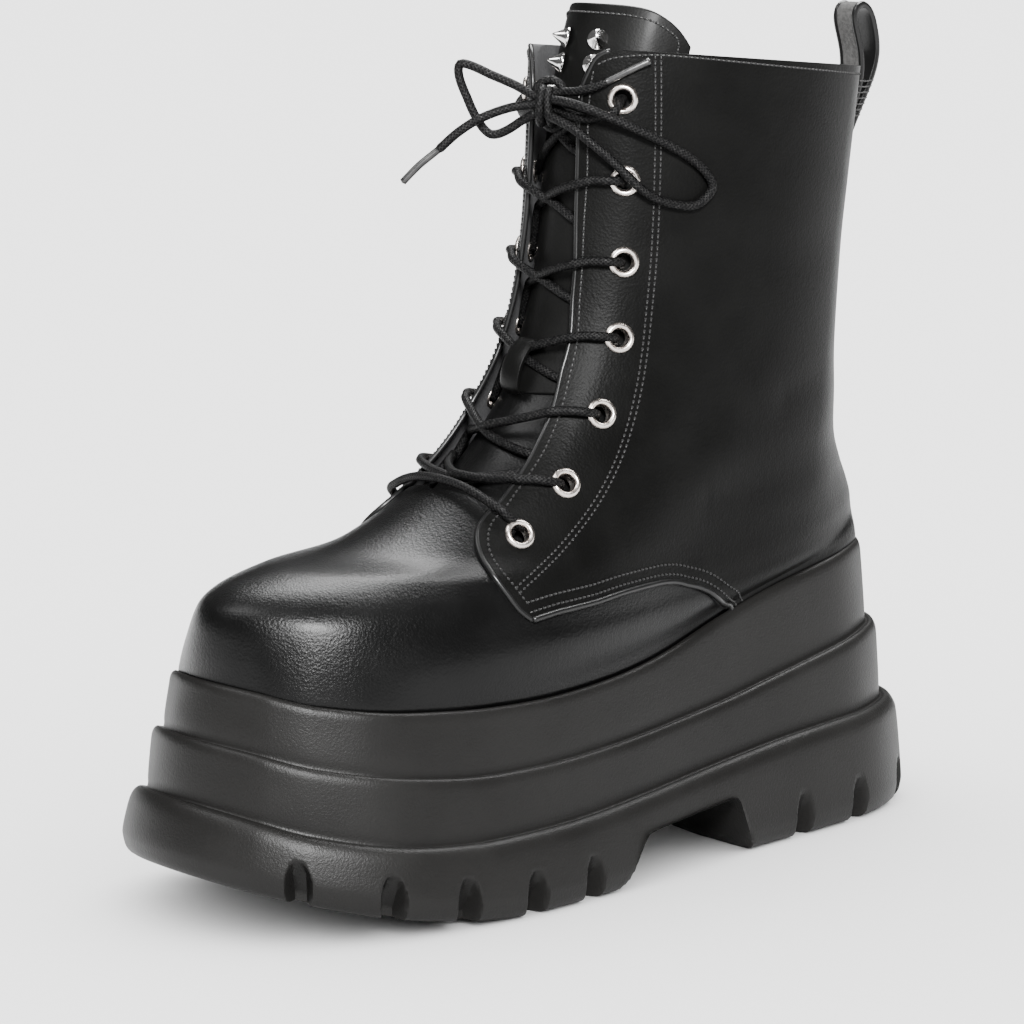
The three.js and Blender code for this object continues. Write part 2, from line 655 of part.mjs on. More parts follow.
// Each cord's route from the knot outward, and its number of steps.
const BOW = {
  lace_loop_left: {
    steps: 22,
    route: [
      [-4.6, -3.8, 237.2], [-7.7, -6.7, 239.5], [-13.5, -11.8, 242.7], [-18.1, -15.9, 245.4], [-20.4, -17.9, 245.7],
      [-20.7, -18.1, 242.4], [-18.8, -16.5, 235.7], [-16.3, -14.3, 228.7], [-13.3, -11.6, 224.4], [-10, -8.7, 225.4],
      [-6.4, -5.6, 228.4],
    ],
  },
  lace_end_left: {
    steps: 10,
    route: [
      [-4.9, -5.6, 233.4], [-7.6, -9.4, 232.6], [-12.8, -17.1, 229.2], [-17, -22.7, 224.6], [-19.8, -26.4, 220.4],
      [-23.5, -31.3, 215.5], [-26.6, -35.4, 210.3],
    ],
  },
  lace_loop_right: {
    steps: 28,
    route: [
      [4.6, -2, 235.4], [11.6, -1, 234.8], [17.2, 0.8, 233.4], [23.6, 7.8, 229.6], [28.7, 17.8, 224.3],
      [32.6, 28.8, 218], [33.9, 35, 212.5], [34.1, 36.9, 208.5], [32.9, 32.7, 204.1], [31.9, 28.8, 203.3],
      [28.6, 18.2, 206.1], [26.3, 12, 210.9], [22, 7.6, 216.9], [16.6, 2, 223.6], [10.8, -1.2, 228], [5, -3, 230.4],
    ],
  },
  lace_end_right: {
    steps: 8,
    route: [
      [4.5, 1.4, 237.6], [10, 3.2, 238], [14.4, 5, 239.2], [19, 8.9, 241.9], [23.2, 13.3, 244.9], [26.6, 17.6, 247.4],
    ],
  },
};
Object.entries(BOW).forEach(([name, { route, steps }]) => place(name, bar(vectors(route), LACE, steps), 'lace'));

// Short runs of lace from beside the top eyelets to the knot.
const TIE = [[16.8, 6.2, 230.6], [14, 4.2, 230], [9.2, 2, 230.8], [5.4, 1, 231.8]];
const TIE_MIDDLE = -1.5;
[1, -1].forEach((side) => {
  const route = TIE.map(([x, y, z]) => [TIE_MIDDLE + side * (x - TIE_MIDDLE), y, z]);
  place(side > 0 ? 'lace_tie_lateral' : 'lace_tie_medial', bar(vectors(route), LACE, 6), 'lace');
});

// ---- pull loop, one strap folded over and sewn down the back seam

const STRAP = { width: 10, middle: -1.5 };
const LOOP_OUTSIDE = [
  [122.8, 212], [127.5, 219.5], [131.5, 226], [135, 232], [138, 238.4], [139.4, 245], [138.4, 252.5], [135.6, 258.6],
  [131.8, 261.2], [128.4, 260], [127, 256.5], [128.3, 250.4], [129.8, 245.5], [130.4, 240], [129.8, 235],
  [128, 229], [124.6, 222], [120.6, 214.5], [120.6, 212],
];
const LOOP_INSIDE = [
  [133.9, 236.5], [136, 240], [137.2, 245], [136.3, 251.8], [134, 256.9], [131.6, 258.8], [130, 258], [129.2, 256.4],
  [130.4, 251], [132, 245.8], [132.6, 240], [133, 236.5],
];

function pullLoop() {
  const outline = (rows) => rows.map(([y, z]) => new THREE.Vector2(y, z));
  const shape = new THREE.Shape(outline(LOOP_OUTSIDE));
  shape.holes.push(new THREE.Path(outline(LOOP_INSIDE)));
  const strap = new THREE.ExtrudeGeometry(shape, { depth: STRAP.width, bevelEnabled: false });
  strap.translate(0, 0, -STRAP.width / 2).rotateX(Math.PI / 2).rotateZ(Math.PI / 2);
  return strap.translate(STRAP.middle, 0, 0);
}
place('pull_loop', pullLoop(), 'webbing');

export default boot;
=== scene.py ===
import math

import bpy
import numpy as np
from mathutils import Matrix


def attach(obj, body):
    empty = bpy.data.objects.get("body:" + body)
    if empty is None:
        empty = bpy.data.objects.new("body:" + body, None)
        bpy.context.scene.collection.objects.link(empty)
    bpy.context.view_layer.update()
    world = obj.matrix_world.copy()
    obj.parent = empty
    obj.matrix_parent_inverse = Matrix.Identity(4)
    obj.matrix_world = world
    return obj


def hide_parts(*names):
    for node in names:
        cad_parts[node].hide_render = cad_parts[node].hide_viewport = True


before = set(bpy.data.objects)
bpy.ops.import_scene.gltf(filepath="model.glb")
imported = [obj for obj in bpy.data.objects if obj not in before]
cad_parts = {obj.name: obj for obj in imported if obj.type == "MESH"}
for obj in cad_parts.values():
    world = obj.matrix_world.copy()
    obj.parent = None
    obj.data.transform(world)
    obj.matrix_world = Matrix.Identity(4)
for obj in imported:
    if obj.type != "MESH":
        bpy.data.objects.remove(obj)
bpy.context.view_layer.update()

# ---- Camera, floor and lights
# The boot stands empty on a plain pale floor under soft studio light. The camera looks down a
# little on its outer side and toe with a long lens.
scene = bpy.context.scene
LENS = {"location": (0.9149, -0.7820, 0.3200), "tilt": 80, "turn": 50, "focal": 138.69}
view = bpy.data.cameras.new("camera")
view.lens = LENS["focal"]
view.sensor_width = 36
camera = bpy.data.objects.new("camera", view)
camera.location = LENS["location"]
camera.rotation_euler = (math.radians(LENS["tilt"]), 0, math.radians(LENS["turn"]))
scene.collection.objects.link(camera)
scene.camera = camera

FLOOR_HALF = 14
floor_mesh = bpy.data.meshes.new("floor")
corners = [(-FLOOR_HALF, -FLOOR_HALF, 0), (FLOOR_HALF, -FLOOR_HALF, 0),
           (FLOOR_HALF, FLOOR_HALF, 0), (-FLOOR_HALF, FLOOR_HALF, 0)]
floor_mesh.from_pydata(corners, [], [(0, 1, 2, 3)])
floor = bpy.data.objects.new("floor", floor_mesh)
scene.collection.objects.link(floor)
floor_paint = bpy.data.materials.new("pale_floor")
floor_paint.use_nodes = True
floor_shader = floor_paint.node_tree.nodes["Principled BSDF"]
floor_shader.inputs["Base Color"].default_value = (0.85, 0.85, 0.85, 1)
floor_shader.inputs["Roughness"].default_value = 0.95
floor_mesh.materials.append(floor_paint)

SKY_STRENGTH = 0.12
sky = bpy.data.worlds.new("studio")
sky.use_nodes = True
sky_shader = sky.node_tree.nodes["Background"]
sky_shader.inputs["Color"].default_value = (1, 1, 1, 1)
sky_shader.inputs["Strength"].default_value = SKY_STRENGTH
scene.world = sky

# Each soft box: where it hangs, what it looks at, its two sides and its power in watts. The great
# sheet lights the floor alone, and the others light all but the floor.
SOFT_BOXES = [
    {"name": "floor_sheet", "at": (0, 0, 9), "look": (0, 0, 0),
     "size": (60, 60), "power": 43000, "link": "INCLUDE"},
    {"name": "front", "at": (1.25, -0.9, 1.02), "look": (0, -0.1, 0.1),
     "size": (0.42, 0.36), "power": 150, "link": "EXCLUDE"},
    {"name": "back_top", "at": (-0.3, 0.66, 1.5), "look": (0, -0.08, 0.1),
     "size": (1.5, 0.7), "power": 92, "link": "EXCLUDE"},
    {"name": "toe_top", "at": (-0.35, -1.0, 1.55), "look": (0, -0.12, 0.08),
     "size": (0.9, 0.6), "power": 22, "link": "EXCLUDE"},
]
for box in SOFT_BOXES:
    lamp = bpy.data.lights.new(box["name"], "AREA")
    lamp.shape = "RECTANGLE"
    lamp.size, lamp.size_y = box["size"]
    lamp.energy = box["power"]
    holder = bpy.data.objects.new(box["name"], lamp)
    holder.location = box["at"]
    toward = holder.location - type(holder.location)(box["look"])
    holder.rotation_euler = toward.to_track_quat("Z", "Y").to_euler()
    scene.collection.objects.link(holder)
    lit = bpy.data.collections.new(box["name"] + "_lights")
    lit.objects.link(floor)
    holder.light_linking.receiver_collection = lit
    lit.collection_objects[0].light_linking.link_state = box["link"]

# ---- Bow: two loops and two ends of the lace
# One round waxed lace, braided over a core and 2.8 mm across, tied in a bow over the top of the
# throat. The tips of its ends are sealed in smooth dark aglets.
MM = 0.001
LACE = 2.8


class Wire:
    """A socket of a material: sums and products of wires add Math nodes."""

    def __init__(self, paint, socket):
        self.paint, self.socket = paint, socket

    def maths(self, operation, *others):
        return self.paint.add("ShaderNodeMath", {"operation": operation}, dict(enumerate((self, *others))))

    def __add__(self, other):
        return self.maths("ADD", other)

    def __sub__(self, other):
        return self.maths("SUBTRACT", other)

    def __rsub__(self, other):
        return self * -1 + other

    def __mul__(self, other):
        return self.maths("MULTIPLY", other)

    __radd__, __rmul__ = __add__, __mul__


class Paint:
    """A procedural material: one shader, and the nodes that vary it over the surface."""

    def __init__(self, name, **constants):
        self.material = bpy.data.materials.new(name)
        self.material.use_nodes = True
        self.tree = self.material.node_tree
        self.shader = self.tree.nodes["Principled BSDF"]
        self.join(self.shader, {k.replace("_", " "): v for k, v in constants.items()})

    def join(self, node, sockets):
        for key, value in sockets.items():
            if isinstance(value, Wire):
                self.tree.links.new(value.socket, node.inputs[key])
            else:
                node.inputs[key].default_value = value

    def add(self, kind, settings=None, sockets=None, output=0):
        node = self.tree.nodes.new(kind)
        for key, value in (settings or {}).items():
            if key == "stops":
                while len(node.color_ramp.elements) < len(value):
                    node.color_ramp.elements.new(0.5)
                for stop, (at, grey) in zip(node.color_ramp.elements, value):
                    stop.position, stop.color = at, (grey, grey, grey, 1)
            else:
                setattr(node, key, value)
        self.join(node, sockets or {})
        return Wire(self, node.outputs[output])

    def place(self):
        return self.add("ShaderNodeTexCoord", output="Object")

    def noise(self, scale, detail=2.0):
        return self.add("ShaderNodeTexNoise", None,
                        {"Vector": self.place(), "Scale": scale, "Detail": detail})

    def step(self, value, low, high, start=0.0, end=1.0):
        return self.add("ShaderNodeMapRange", {"interpolation_type": "SMOOTHSTEP"},
                        {0: value, 1: low, 2: high, 3: start, 4: end})

    def blend(self, mask, first, second):
        return self.add("ShaderNodeMix", {"data_type": "RGBA"}, {0: mask, 6: first, 7: second}, 2)

    def bump(self, height, strength, distance, under=None):
        sockets = {"Height": height, "Strength": strength, "Distance": distance}
        if under:
            sockets["Normal"] = under
        return self.add("ShaderNodeBump", None, sockets)

    def finish(self, **sockets):
        self.join(self.shader, {k.replace("_", " "): v for k, v in sockets.items()})
        return self.material


def smooth_path(points, per_span=8):
    """Points of a smooth curve through a route, evenly paced by the distances between them."""
    p = np.array(points, float)
    p = np.vstack([2 * p[0] - p[1], p, 2 * p[-1] - p[-2]])
    rows = []
    for i in range(1, len(p) - 2):
        knots = np.cumsum([0] + [np.linalg.norm(p[i + k] - p[i + k - 1]) ** 0.5 + 1e-9 for k in range(3)])
        for t in np.linspace(knots[1], knots[2], per_span, endpoint=False):
            ring = [p[i - 1 + k] for k in range(4)]
            for width in (1, 2, 3):
                ring = [((knots[k + width] - t) * ring[k] + (t - knots[k]) * ring[k + 1])
                        / (knots[k + width] - knots[k]) for k in range(len(ring) - 1)]
            rows.append(ring[0])
    rows.append(p[-2])
    return np.array(rows)


def paced(path, gap):
    """The same curve with its points at equal steps of about one gap."""
    steps = np.concatenate([[0], np.cumsum(np.linalg.norm(np.diff(path, axis=0), axis=1))])
    at = np.linspace(0, steps[-1], max(int(round(steps[-1] / gap)), 3) + 1)
    return np.stack([np.interp(at, steps, path[:, k]) for k in range(3)], axis=1)


def new_piece(name, points, faces, materials, smooth_angle=40.0):
    """An object whose mesh holds the points in metres; edges sharper than the angle stay crisp."""
    mesh = bpy.data.meshes.new(name)
    mesh.from_pydata([tuple(p) for p in points], [], [tuple(f) for f in faces])
    for material in materials:
        mesh.materials.append(material)
    mesh.polygons.foreach_set("use_smooth", [True] * len(mesh.polygons))
    if smooth_angle:
        mesh.set_sharp_from_angle(angle=math.radians(smooth_angle))
    piece = bpy.data.objects.new(name, mesh)
    scene.collection.objects.link(piece)
    return piece


CAP_BULGE = 0.15
TIP_SHARE = 0.8


def rope(name, path, diameter, materials, sides=16, tip=0.0):
    """Round tube along a path in millimetres, closed at both ends, with its own UV: u round it, v the
    length along it in metres. A tip is that long, a little slimmer, and takes the second material."""
    path = np.array(path, float)
    ahead = np.gradient(path, axis=0)
    ahead /= np.linalg.norm(ahead, axis=1)[:, None]
    side = np.cross(ahead[0], (0.3, 0.2, 1.0))
    turns = np.arange(sides) / sides * 2 * math.pi
    length = np.concatenate([[0], np.cumsum(np.linalg.norm(np.diff(path, axis=0), axis=1))])
    rings = []
    for i, (point, along_it) in enumerate(zip(path, ahead)):
        side = side - along_it * side.dot(along_it)
        side /= np.linalg.norm(side)
        up = np.cross(along_it, side)
        share = TIP_SHARE if tip and length[-1] - length[i] < tip else 1.0
        radial = np.outer(np.cos(turns), side) + np.outer(np.sin(turns), up)
        rings.append(point + radial * diameter / 2 * share)
    caps = [path[0] - ahead[0] * diameter * CAP_BULGE, path[-1] + ahead[-1] * diameter * CAP_BULGE]
    points = np.vstack(rings + caps) * MM
    faces, uvs = [], []
    count = len(rings)
    for i in range(count - 1):
        for j in range(sides):
            k = (j + 1) % sides
            faces.append((i * sides + j, i * sides + k, (i + 1) * sides + k, (i + 1) * sides + j))
            u, w = j / sides, (j + 1) / sides
            v, x = length[i] * MM, length[i + 1] * MM
            uvs += [(u, v), (w, v), (w, x), (u, x)]
    first, last = count * sides, count * sides + 1
    for j in range(sides):
        k = (j + 1) % sides
        faces += [(first, k, j), (last, (count - 1) * sides + j, (count - 1) * sides + k)]
        u, w = j / sides, (j + 1) / sides
        end = length[-1] * MM
        uvs += [(u, 0), (w, 0), (u, 0), (u, end), (u, end), (w, end)]
    piece = new_piece(name, points, faces, materials, smooth_angle=None)
    layer = piece.data.uv_layers.new(name="UVMap")
    layer.data.foreach_set("uv", np.array(uvs).ravel())
    if tip:
        for face in piece.data.polygons:
            row = min(face.vertices) // sides
            if length[-1] - length[row] <= tip:
                face.material_index = 1
    return piece


# Braided thread: two sets of strands cross round the cord, waxed, with paler colour on some crowns of the
# weave.
braid = Paint("waxed_braid", Roughness=0.45, Specular_IOR_Level=0.08)
uv = braid.add("ShaderNodeUVMap", {"uv_map": "UVMap"})
across = braid.add("ShaderNodeSeparateXYZ", None, {0: uv}, "X")
down = braid.add("ShaderNodeSeparateXYZ", None, {0: uv}, "Y")
STRANDS_ROUND = 7
STRANDS_PER_METRE = 760
full_turn = 2 * math.pi
round_it = across * (STRANDS_ROUND * full_turn)
along_it = down * (STRANDS_PER_METRE * full_turn)
rising = (round_it + along_it).maths("SINE")
falling = (round_it - along_it).maths("SINE")
weave = rising.maths("MAXIMUM", falling)
crown = braid.step(weave * (0.55 + braid.noise(1100, 3) * 0.9), 0.82, 1.15)
braid_finish = braid.finish(
    Base_Color=braid.blend(crown, (0.0008, 0.0008, 0.0009, 1), (0.02, 0.0195, 0.019, 1)),
    Roughness=braid.step(crown, 0, 1, 0.55, 0.38),
    Normal=braid.bump(weave, 0.5, 0.00014),
)
aglet = Paint("aglet_film", Roughness=0.35, Coat_Weight=0.1, Coat_Roughness=0.2)
aglet_finish = aglet.finish(
    Base_Color=aglet.blend(aglet.step(aglet.noise(600), 0.45, 0.65), (0.003, 0.003, 0.0032, 1),
                           (0.014, 0.0135, 0.013, 1)),
    Normal=aglet.bump(aglet.noise(900), 0.25, 0.0001),
)

LOOP_LEFT = [
    (-4.6, -3.8, 237.2), (-7.7, -6.7, 239.5), (-13.5, -11.8, 242.7), (-18.1, -15.9, 245.4),
    (-20.4, -17.9, 245.7), (-20.7, -18.1, 242.4), (-18.8, -16.5, 235.7), (-16.3, -14.3, 228.7),
    (-13.3, -11.6, 224.4), (-10, -8.7, 225.4), (-6.4, -5.6, 228.4),
]
END_LEFT = [
    (-4.9, -5.6, 233.4), (-7.6, -9.4, 232.6), (-12.8, -17.1, 229.2), (-17, -22.7, 224.6),
    (-19.8, -26.4, 220.4), (-23.5, -31.3, 215.5), (-26.6, -35.4, 210.3),
]
LOOP_RIGHT = [
    (4.6, -2, 235.4), (11.6, -1, 234.8), (17.2, 0.8, 233.4), (23.6, 7.8, 229.6), (28.7, 17.8, 224.3),
    (32.6, 28.8, 218), (33.9, 35, 212.5), (34.1, 36.9, 208.5), (32.9, 32.7, 204.1), (31.9, 28.8, 203.3),
    (28.6, 18.2, 206.1), (26.3, 12, 210.9), (22, 7.6, 216.9), (16.6, 2, 223.6), (10.8, -1.2, 228),
    (5, -3, 230.4),
]
END_RIGHT = [
    (4.5, 1.4, 237.6), (10, 3.2, 238), (14.4, 5, 239.2), (19, 8.9, 241.9), (23.2, 13.3, 244.9),
    (26.6, 17.6, 247.4),
]
KNOT_MIDDLE = (0.4, -0.6, 234)
AGLET = 15
LACE_STEP = 0.9
BOW = [
    {"name": "bow_loop_left", "route": LOOP_LEFT, "node": "lace_loop_left", "end": "object", "tip": 0},
    {"name": "bow_end_left", "route": END_LEFT, "node": "lace_end_left", "end": "bare", "tip": AGLET},
    {"name": "bow_loop_right", "route": LOOP_RIGHT, "node": "lace_loop_right", "end": "object", "tip": 0},
    {"name": "bow_end_right", "route": END_RIGHT, "node": "lace_end_right", "end": "bare", "tip": AGLET},
]
# Where each run goes on inside the knot: before its first point and, on a loop, after its last.
KNOT_REACH = {
    "bow_loop_left": [(-1.2, -2.4, 235.6), (-1.6, -3.6, 231.2)],
    "bow_end_left": [(-1.4, -3.0, 233.8)],
    "bow_loop_right": [(1.4, -2.0, 235.0), (1.4, -2.8, 231.6)],
    "bow_end_right": [(1.2, -0.4, 236.8)],
}
for part in BOW:
    reach = KNOT_REACH[part["name"]]
    path = paced(smooth_path(reach[:1] + part["route"] + reach[1:]), LACE_STEP)
    cord = rope(part["name"], path, LACE, [braid_finish, aglet_finish], tip=part["tip"])
    run = np.linalg.norm(np.diff(path, axis=0), axis=1).sum() * MM
    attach(cord, "root")
    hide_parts(part["node"])

# ---- Knot of the bow
# The same lace wound on itself. Two turns go round the middle of the bow, and two more lie flat
# behind them, one above and one below, drawn a little thinner by the pull.
WRAPS = [
    {"across": 5.3, "deep": 3.4, "aside": -1.3, "rise": -0.6, "out": 0.9, "lean": 4, "frontal": False},
    {"across": 5.0, "deep": 3.4, "aside": 1.3, "rise": -0.8, "out": 0.8, "lean": -5, "frontal": False},
    {"across": 4.2, "deep": 4.4, "aside": 0.3, "rise": 3.0, "out": -0.6, "lean": 8, "frontal": True},
    {"across": 4.6, "deep": 3.2, "aside": 0.9, "rise": -3.2, "out": -1.2, "lean": -12, "frontal": True},
]
facing = np.array((0.55, -0.83, 0.0))
aside = np.array((0.83, 0.55, 0.0))
lift = np.array((0.0, 0.0, 1.0))
KNOT_ROUND = 44
DRAWN = 0.94
for number, wrap in enumerate(WRAPS, 1):
    angle = np.linspace(0, 2 * math.pi, KNOT_ROUND + 1)
    lean = math.radians(wrap["lean"])
    long_way = math.cos(lean) * lift + math.sin(lean) * aside
    short_way = aside if wrap["frontal"] else facing
    middle = np.array(KNOT_MIDDLE) + lift * wrap["rise"] + facing * wrap["out"] + aside * wrap["aside"]
    ring = (middle + np.outer(np.cos(angle) * wrap["across"], long_way)
            + np.outer(np.sin(angle) * wrap["deep"], short_way))
    turn_of_knot = rope(f"knot_turn_{number}", ring, LACE * DRAWN, [braid_finish])
    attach(turn_of_knot, "root")
    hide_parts("lace_knot")

# ---- Unit sole
# One moulded rubber platform in three tiers. Each tier ends in a rounded ledge with a step above
# it; the edge of the tread is scooped by notches, and an arch parts the heel from the forefoot.


def table(names, rows):
    """The columns of a table by name."""
    return dict(zip(names.split(), np.array(rows, float).T))


def cubic(knots, values, at):
    """Smooth value between knots; values hold one number to a knot, or one column to a point."""
    at = np.clip(at, knots[0], knots[-1])
    last = len(knots) - 1
    i = np.searchsorted(knots[1:-1], at, side="left")

    def pick(k):
        if values.ndim == 1:
            return values[k]
        return np.take_along_axis(values, k[None], 0)[0]

    def slope(k):
        low, high = np.maximum(k - 1, 0), np.minimum(k + 1, last)
        return (pick(high) - pick(low)) / (knots[high] - knots[low])

    span = knots[i + 1] - knots[i]
    u = (at - knots[i]) / span
    rise = pick(i + 1) - pick(i)
    start, end = slope(i) * span - rise, slope(i + 1) * span - rise
    return pick(i) + rise * u + u * (1 - u) * ((1 - u) * start - u * end)


def smoothstep(value, low, high):
    """0 below low, 1 above high, and a smooth rise between them."""
    t = np.clip((value - low) / (high - low), 0, 1)
    return t * t * (3 - 2 * t)


SOLE_LENGTH = 290
GAP = 0.35
LEDGE_INSET = 18
RECESS = 2.3
# Outline of the sole: place from heel to toe, half width, and middle.
PLAN = table("at half centre", [
    (0, 0, -3.8), (0.02, 21, -3.8), (0.05, 30.5, -3.7), (0.12, 39.5, -3.2), (0.2, 42.5, -2.2),
    (0.3, 43.8, -0.5), (0.4, 45.5, 1.7), (0.5, 49, 3.2), (0.6, 53.5, 2.7), (0.68, 56.5, 1.2),
    (0.76, 57.2, -0.5), (0.85, 54.5, -2.7), (0.92, 45.5, -4.2), (0.96, 34.8, -5), (0.985, 21.3, -5.2),
    (1, 0, -5.2),
])
# Heights of the sole's lines along y: tread, lower ledge, upper ledge, and rim.
SIDE = table("at bottom low high rim", [
    (-145, 21, 42, 58, 74), (-132, 15.8, 37, 54.8, 71.2), (-118, 11.1, 31.5, 50.3, 67.6),
    (-95, 5.2, 26.6, 46, 64.2), (-72, 1.4, 24.5, 43.2, 62.2), (-57, 0, 24.4, 42.4, 61.3),
    (-30, 0, 25, 42.3, 60.8), (0, 0, 26.9, 43.6, 62.4), (22, 0, 28.6, 45.2, 65.8), (48, 0, 30.8, 48, 73),
    (78, 0, 33.2, 53, 80.2), (115, 0, 34.6, 58.6, 85.8), (145, 0, 35.4, 61.5, 88),
])


TURN_NUDGE = 0.03


def plan_point(turn, inset):
    """x and y of the outline at a turn round the boot, 0 at the heel and pi at the toe, moved in."""

    def edge(angle):
        at = (1 - np.cos(angle)) / 2
        side = np.where(np.sin(angle) >= 0, 1, -1)
        half = np.sqrt(np.maximum(cubic(PLAN["at"], PLAN["half"] ** 2, at), 0))
        return cubic(PLAN["at"], PLAN["centre"], at) + side * half, SOLE_LENGTH * (0.5 - at)

    (x0, y0), (x1, y1), (x, y) = edge(turn - TURN_NUDGE), edge(turn + TURN_NUDGE), edge(turn)
    run = np.hypot(x1 - x0, y1 - y0)
    return x + (y1 - y0) / run * inset, y - (x1 - x0) / run * inset


def line_at(line, y):
    """Height of one of the sole's lines at y."""
    return np.maximum(cubic(SIDE["at"], SIDE[line], y), 0)


# Section of the sidewall from the tread up: how far in, from which line, and how far above it. A
# fine channel runs just inside the lip of each ledge.
SIDEWALL = [
    (5.5, "bottom", 0), (2.8, "bottom", 0.4), (1.0, "bottom", 2.2), (0.2, "bottom", 5.5), (0, "bottom", 8),
    (2.0, "low", -4.6), (3.2, "low", -1.9), (4.5, "low", -0.4), (6.2, "low", 0.1), (7.2, "low", -0.9),
    (8.0, "low", 0.2), (7.9, "low", 3.2), (9.0, "high", -4.2), (9.4, "high", -1.9), (10.2, "high", -0.4),
    (11.4, "high", 0.1), (12.4, "high", -0.9), (13.1, "high", 0.2), (13.0, "high", 3.2),
    (14.6, "rim", -4.2), (14.9, "rim", -2.2), (15.4, "rim", -0.8), (16.2, "rim", -0.1), (17.0, "rim", 0),
    (17.7, "rim", -0.5), (LEDGE_INSET, "rim", -1.2), (LEDGE_INSET, "rim", -RECESS),
]
SIDEWALL_MIDDLE = 9
# A notch: half its width, how far it cuts in at the tread and at its top, its height, where it starts
# to narrow, how soft its sides are inside and outside that half width, and where rows of points go.
NOTCH = {"half": 4.0, "reach": 8.5, "top_reach": 0.6, "top": 15.5, "shoulder": 6.0, "inside": 1.9,
         "outside": 0.6, "rows": (-1.8, -1.1, -0.75, -0.4, -0.05, 0.3, 0.65, 1.2)}
TREAD_GROOVE = 2.6
GROOVE_SIDES = (3.2, 4.4)
NOTCH_PLACES = [-126, -101.5, -77, -52, -28, 73, 101, 130]
# Floor of the arch: y and height.
ARCH = [(-18, 0), (-16.5, 0.2), (-12, 4), (-8.5, 10), (-5.5, 14.6), (-3.5, 16.2), (0, 16.9), (38.5, 19.3),
        (39.9, 18.9), (41, 17.2), (48.3, 0.2), (49, 0)]
# Points round the sole: their step, the grid that they are kept on, and how near the ends they stop.
ROUND_STEP, ROUND_GRID, TOE_STOP, HEEL_STOP = 1.5, 0.3, 0.2, 0.004
# Rows up the wall: the most between two where the notches reach, that height, and the most above it.
NOTCHED_ROW, NOTCHED_TO, PLAIN_ROW = 1.1, 16, 5
# The tread: how far in its rows of points run, and the share of that way for each row.
UNDER_REACH = 30
UNDER_RINGS = [0.12, 0.3, 0.55, 0.8, 1]

walk = np.linspace(0, math.pi, 4001)
walk_x, walk_y = plan_point(walk, 0)
walk_run = np.concatenate([[0], np.cumsum(np.hypot(np.diff(walk_x), np.diff(walk_y)))])
notch_runs = np.interp([math.acos(2 * y / SOLE_LENGTH) for y in NOTCH_PLACES], walk, walk_run)
marks = list(np.arange(0, walk_run[-1], ROUND_STEP))
for run in notch_runs:
    marks += [run + side * (NOTCH["half"] + off) for side in (-1, 1) for off in NOTCH["rows"]]
marks = np.unique(np.round(np.array(marks) / ROUND_GRID) * ROUND_GRID)
half_turns = np.interp(marks[marks < walk_run[-1] - TOE_STOP], walk_run, walk)
half_turns = np.concatenate([[0], half_turns[half_turns > HEEL_STOP]])
ring_turns = np.concatenate([half_turns, [math.pi], 2 * math.pi - half_turns[:0:-1]])
ring_runs = np.interp(np.minimum(ring_turns, 2 * math.pi - ring_turns), walk, walk_run)
off_notch = np.abs(ring_runs[:, None] - notch_runs[None]).min(axis=1)


def notch_depth(height):
    """How far a notch cuts in, at a height above the tread, for every turn of the ring."""
    over = np.clip((height - NOTCH["shoulder"]) / (NOTCH["top"] - NOTCH["shoulder"]), 0, 1)
    half = NOTCH["half"] * np.sqrt(1 - over ** 2) + 0.01
    mouth = 1 - smoothstep(off_notch, half - NOTCH["inside"], half + NOTCH["outside"])
    reach = [NOTCH["reach"], NOTCH["reach"], NOTCH["top_reach"]]
    return mouth * np.interp(height, [0, TREAD_GROOVE, NOTCH["top"]], reach)


def over_arch(points):
    """The points, lifted to the floor of the arch where they are under it."""
    floor_of_arch = np.interp(points[:, 1], *np.array(ARCH, float).T, left=0, right=0)
    points[:, 2] = np.maximum(points[:, 2], floor_of_arch)
    return points


def round_corners(rows, times=2):
    """Cuts the corners of a stack of rings, so that its ledges come out round."""
    for _ in range(times):
        new = [rows[0]]
        for a, b in zip(rows[:-1], rows[1:]):
            new += [(np.array(a) * 3 + np.array(b)) / 4, (np.array(a) + np.array(b) * 3) / 4]
        rows = new + [rows[-1]]
    return rows


ring_y = plan_point(ring_turns, SIDEWALL_MIDDLE)[1]
lines_at_turn = {line: line_at(line, ring_y) for line in ("bottom", "low", "high", "rim")}
section = [np.stack([np.full(len(ring_turns), float(inset)), lines_at_turn[line] + rise])
           for inset, line, rise in SIDEWALL]
section = round_corners(section)
wall = []
for a, b in zip(section[:-1], section[1:]):
    tall = np.abs(b[1] - a[1]).max()
    notched = (a[1] - lines_at_turn["bottom"]).min() < NOTCHED_TO
    parts = max(int(tall / (NOTCHED_ROW if notched else PLAIN_ROW)), 1)
    wall += [a + (b - a) * t for t in np.arange(parts) / parts]
wall.append(section[-1])
rings = []
for inset, height in wall:
    above = height - lines_at_turn["bottom"]
    deep = np.maximum(inset, notch_depth(above))
    x, y = plan_point(ring_turns, deep)
    rings.append(over_arch(np.stack([x, y, height], axis=1)))

edge_inset = np.maximum(SIDEWALL[0][0], notch_depth(np.zeros(len(ring_turns))))
under = []
for share in UNDER_RINGS:
    x, y = plan_point(ring_turns, edge_inset + (UNDER_REACH - edge_inset) * share)
    z = line_at("bottom", y)
    from_groove = np.abs(y[:, None] - np.array(NOTCH_PLACES[1:-1], float)[None]).min(axis=1)
    z = z + TREAD_GROOVE * (1 - smoothstep(from_groove, *GROOVE_SIDES))
    under.append(over_arch(np.stack([x, y, z], axis=1)))
stack = under[::-1] + rings
count = len(ring_turns)
half_count = len(half_turns)
faces = []
for r in range(len(stack) - 1):
    for j in range(count):
        k = (j + 1) % count
        faces.append((r * count + j, r * count + k, (r + 1) * count + k, (r + 1) * count + j))


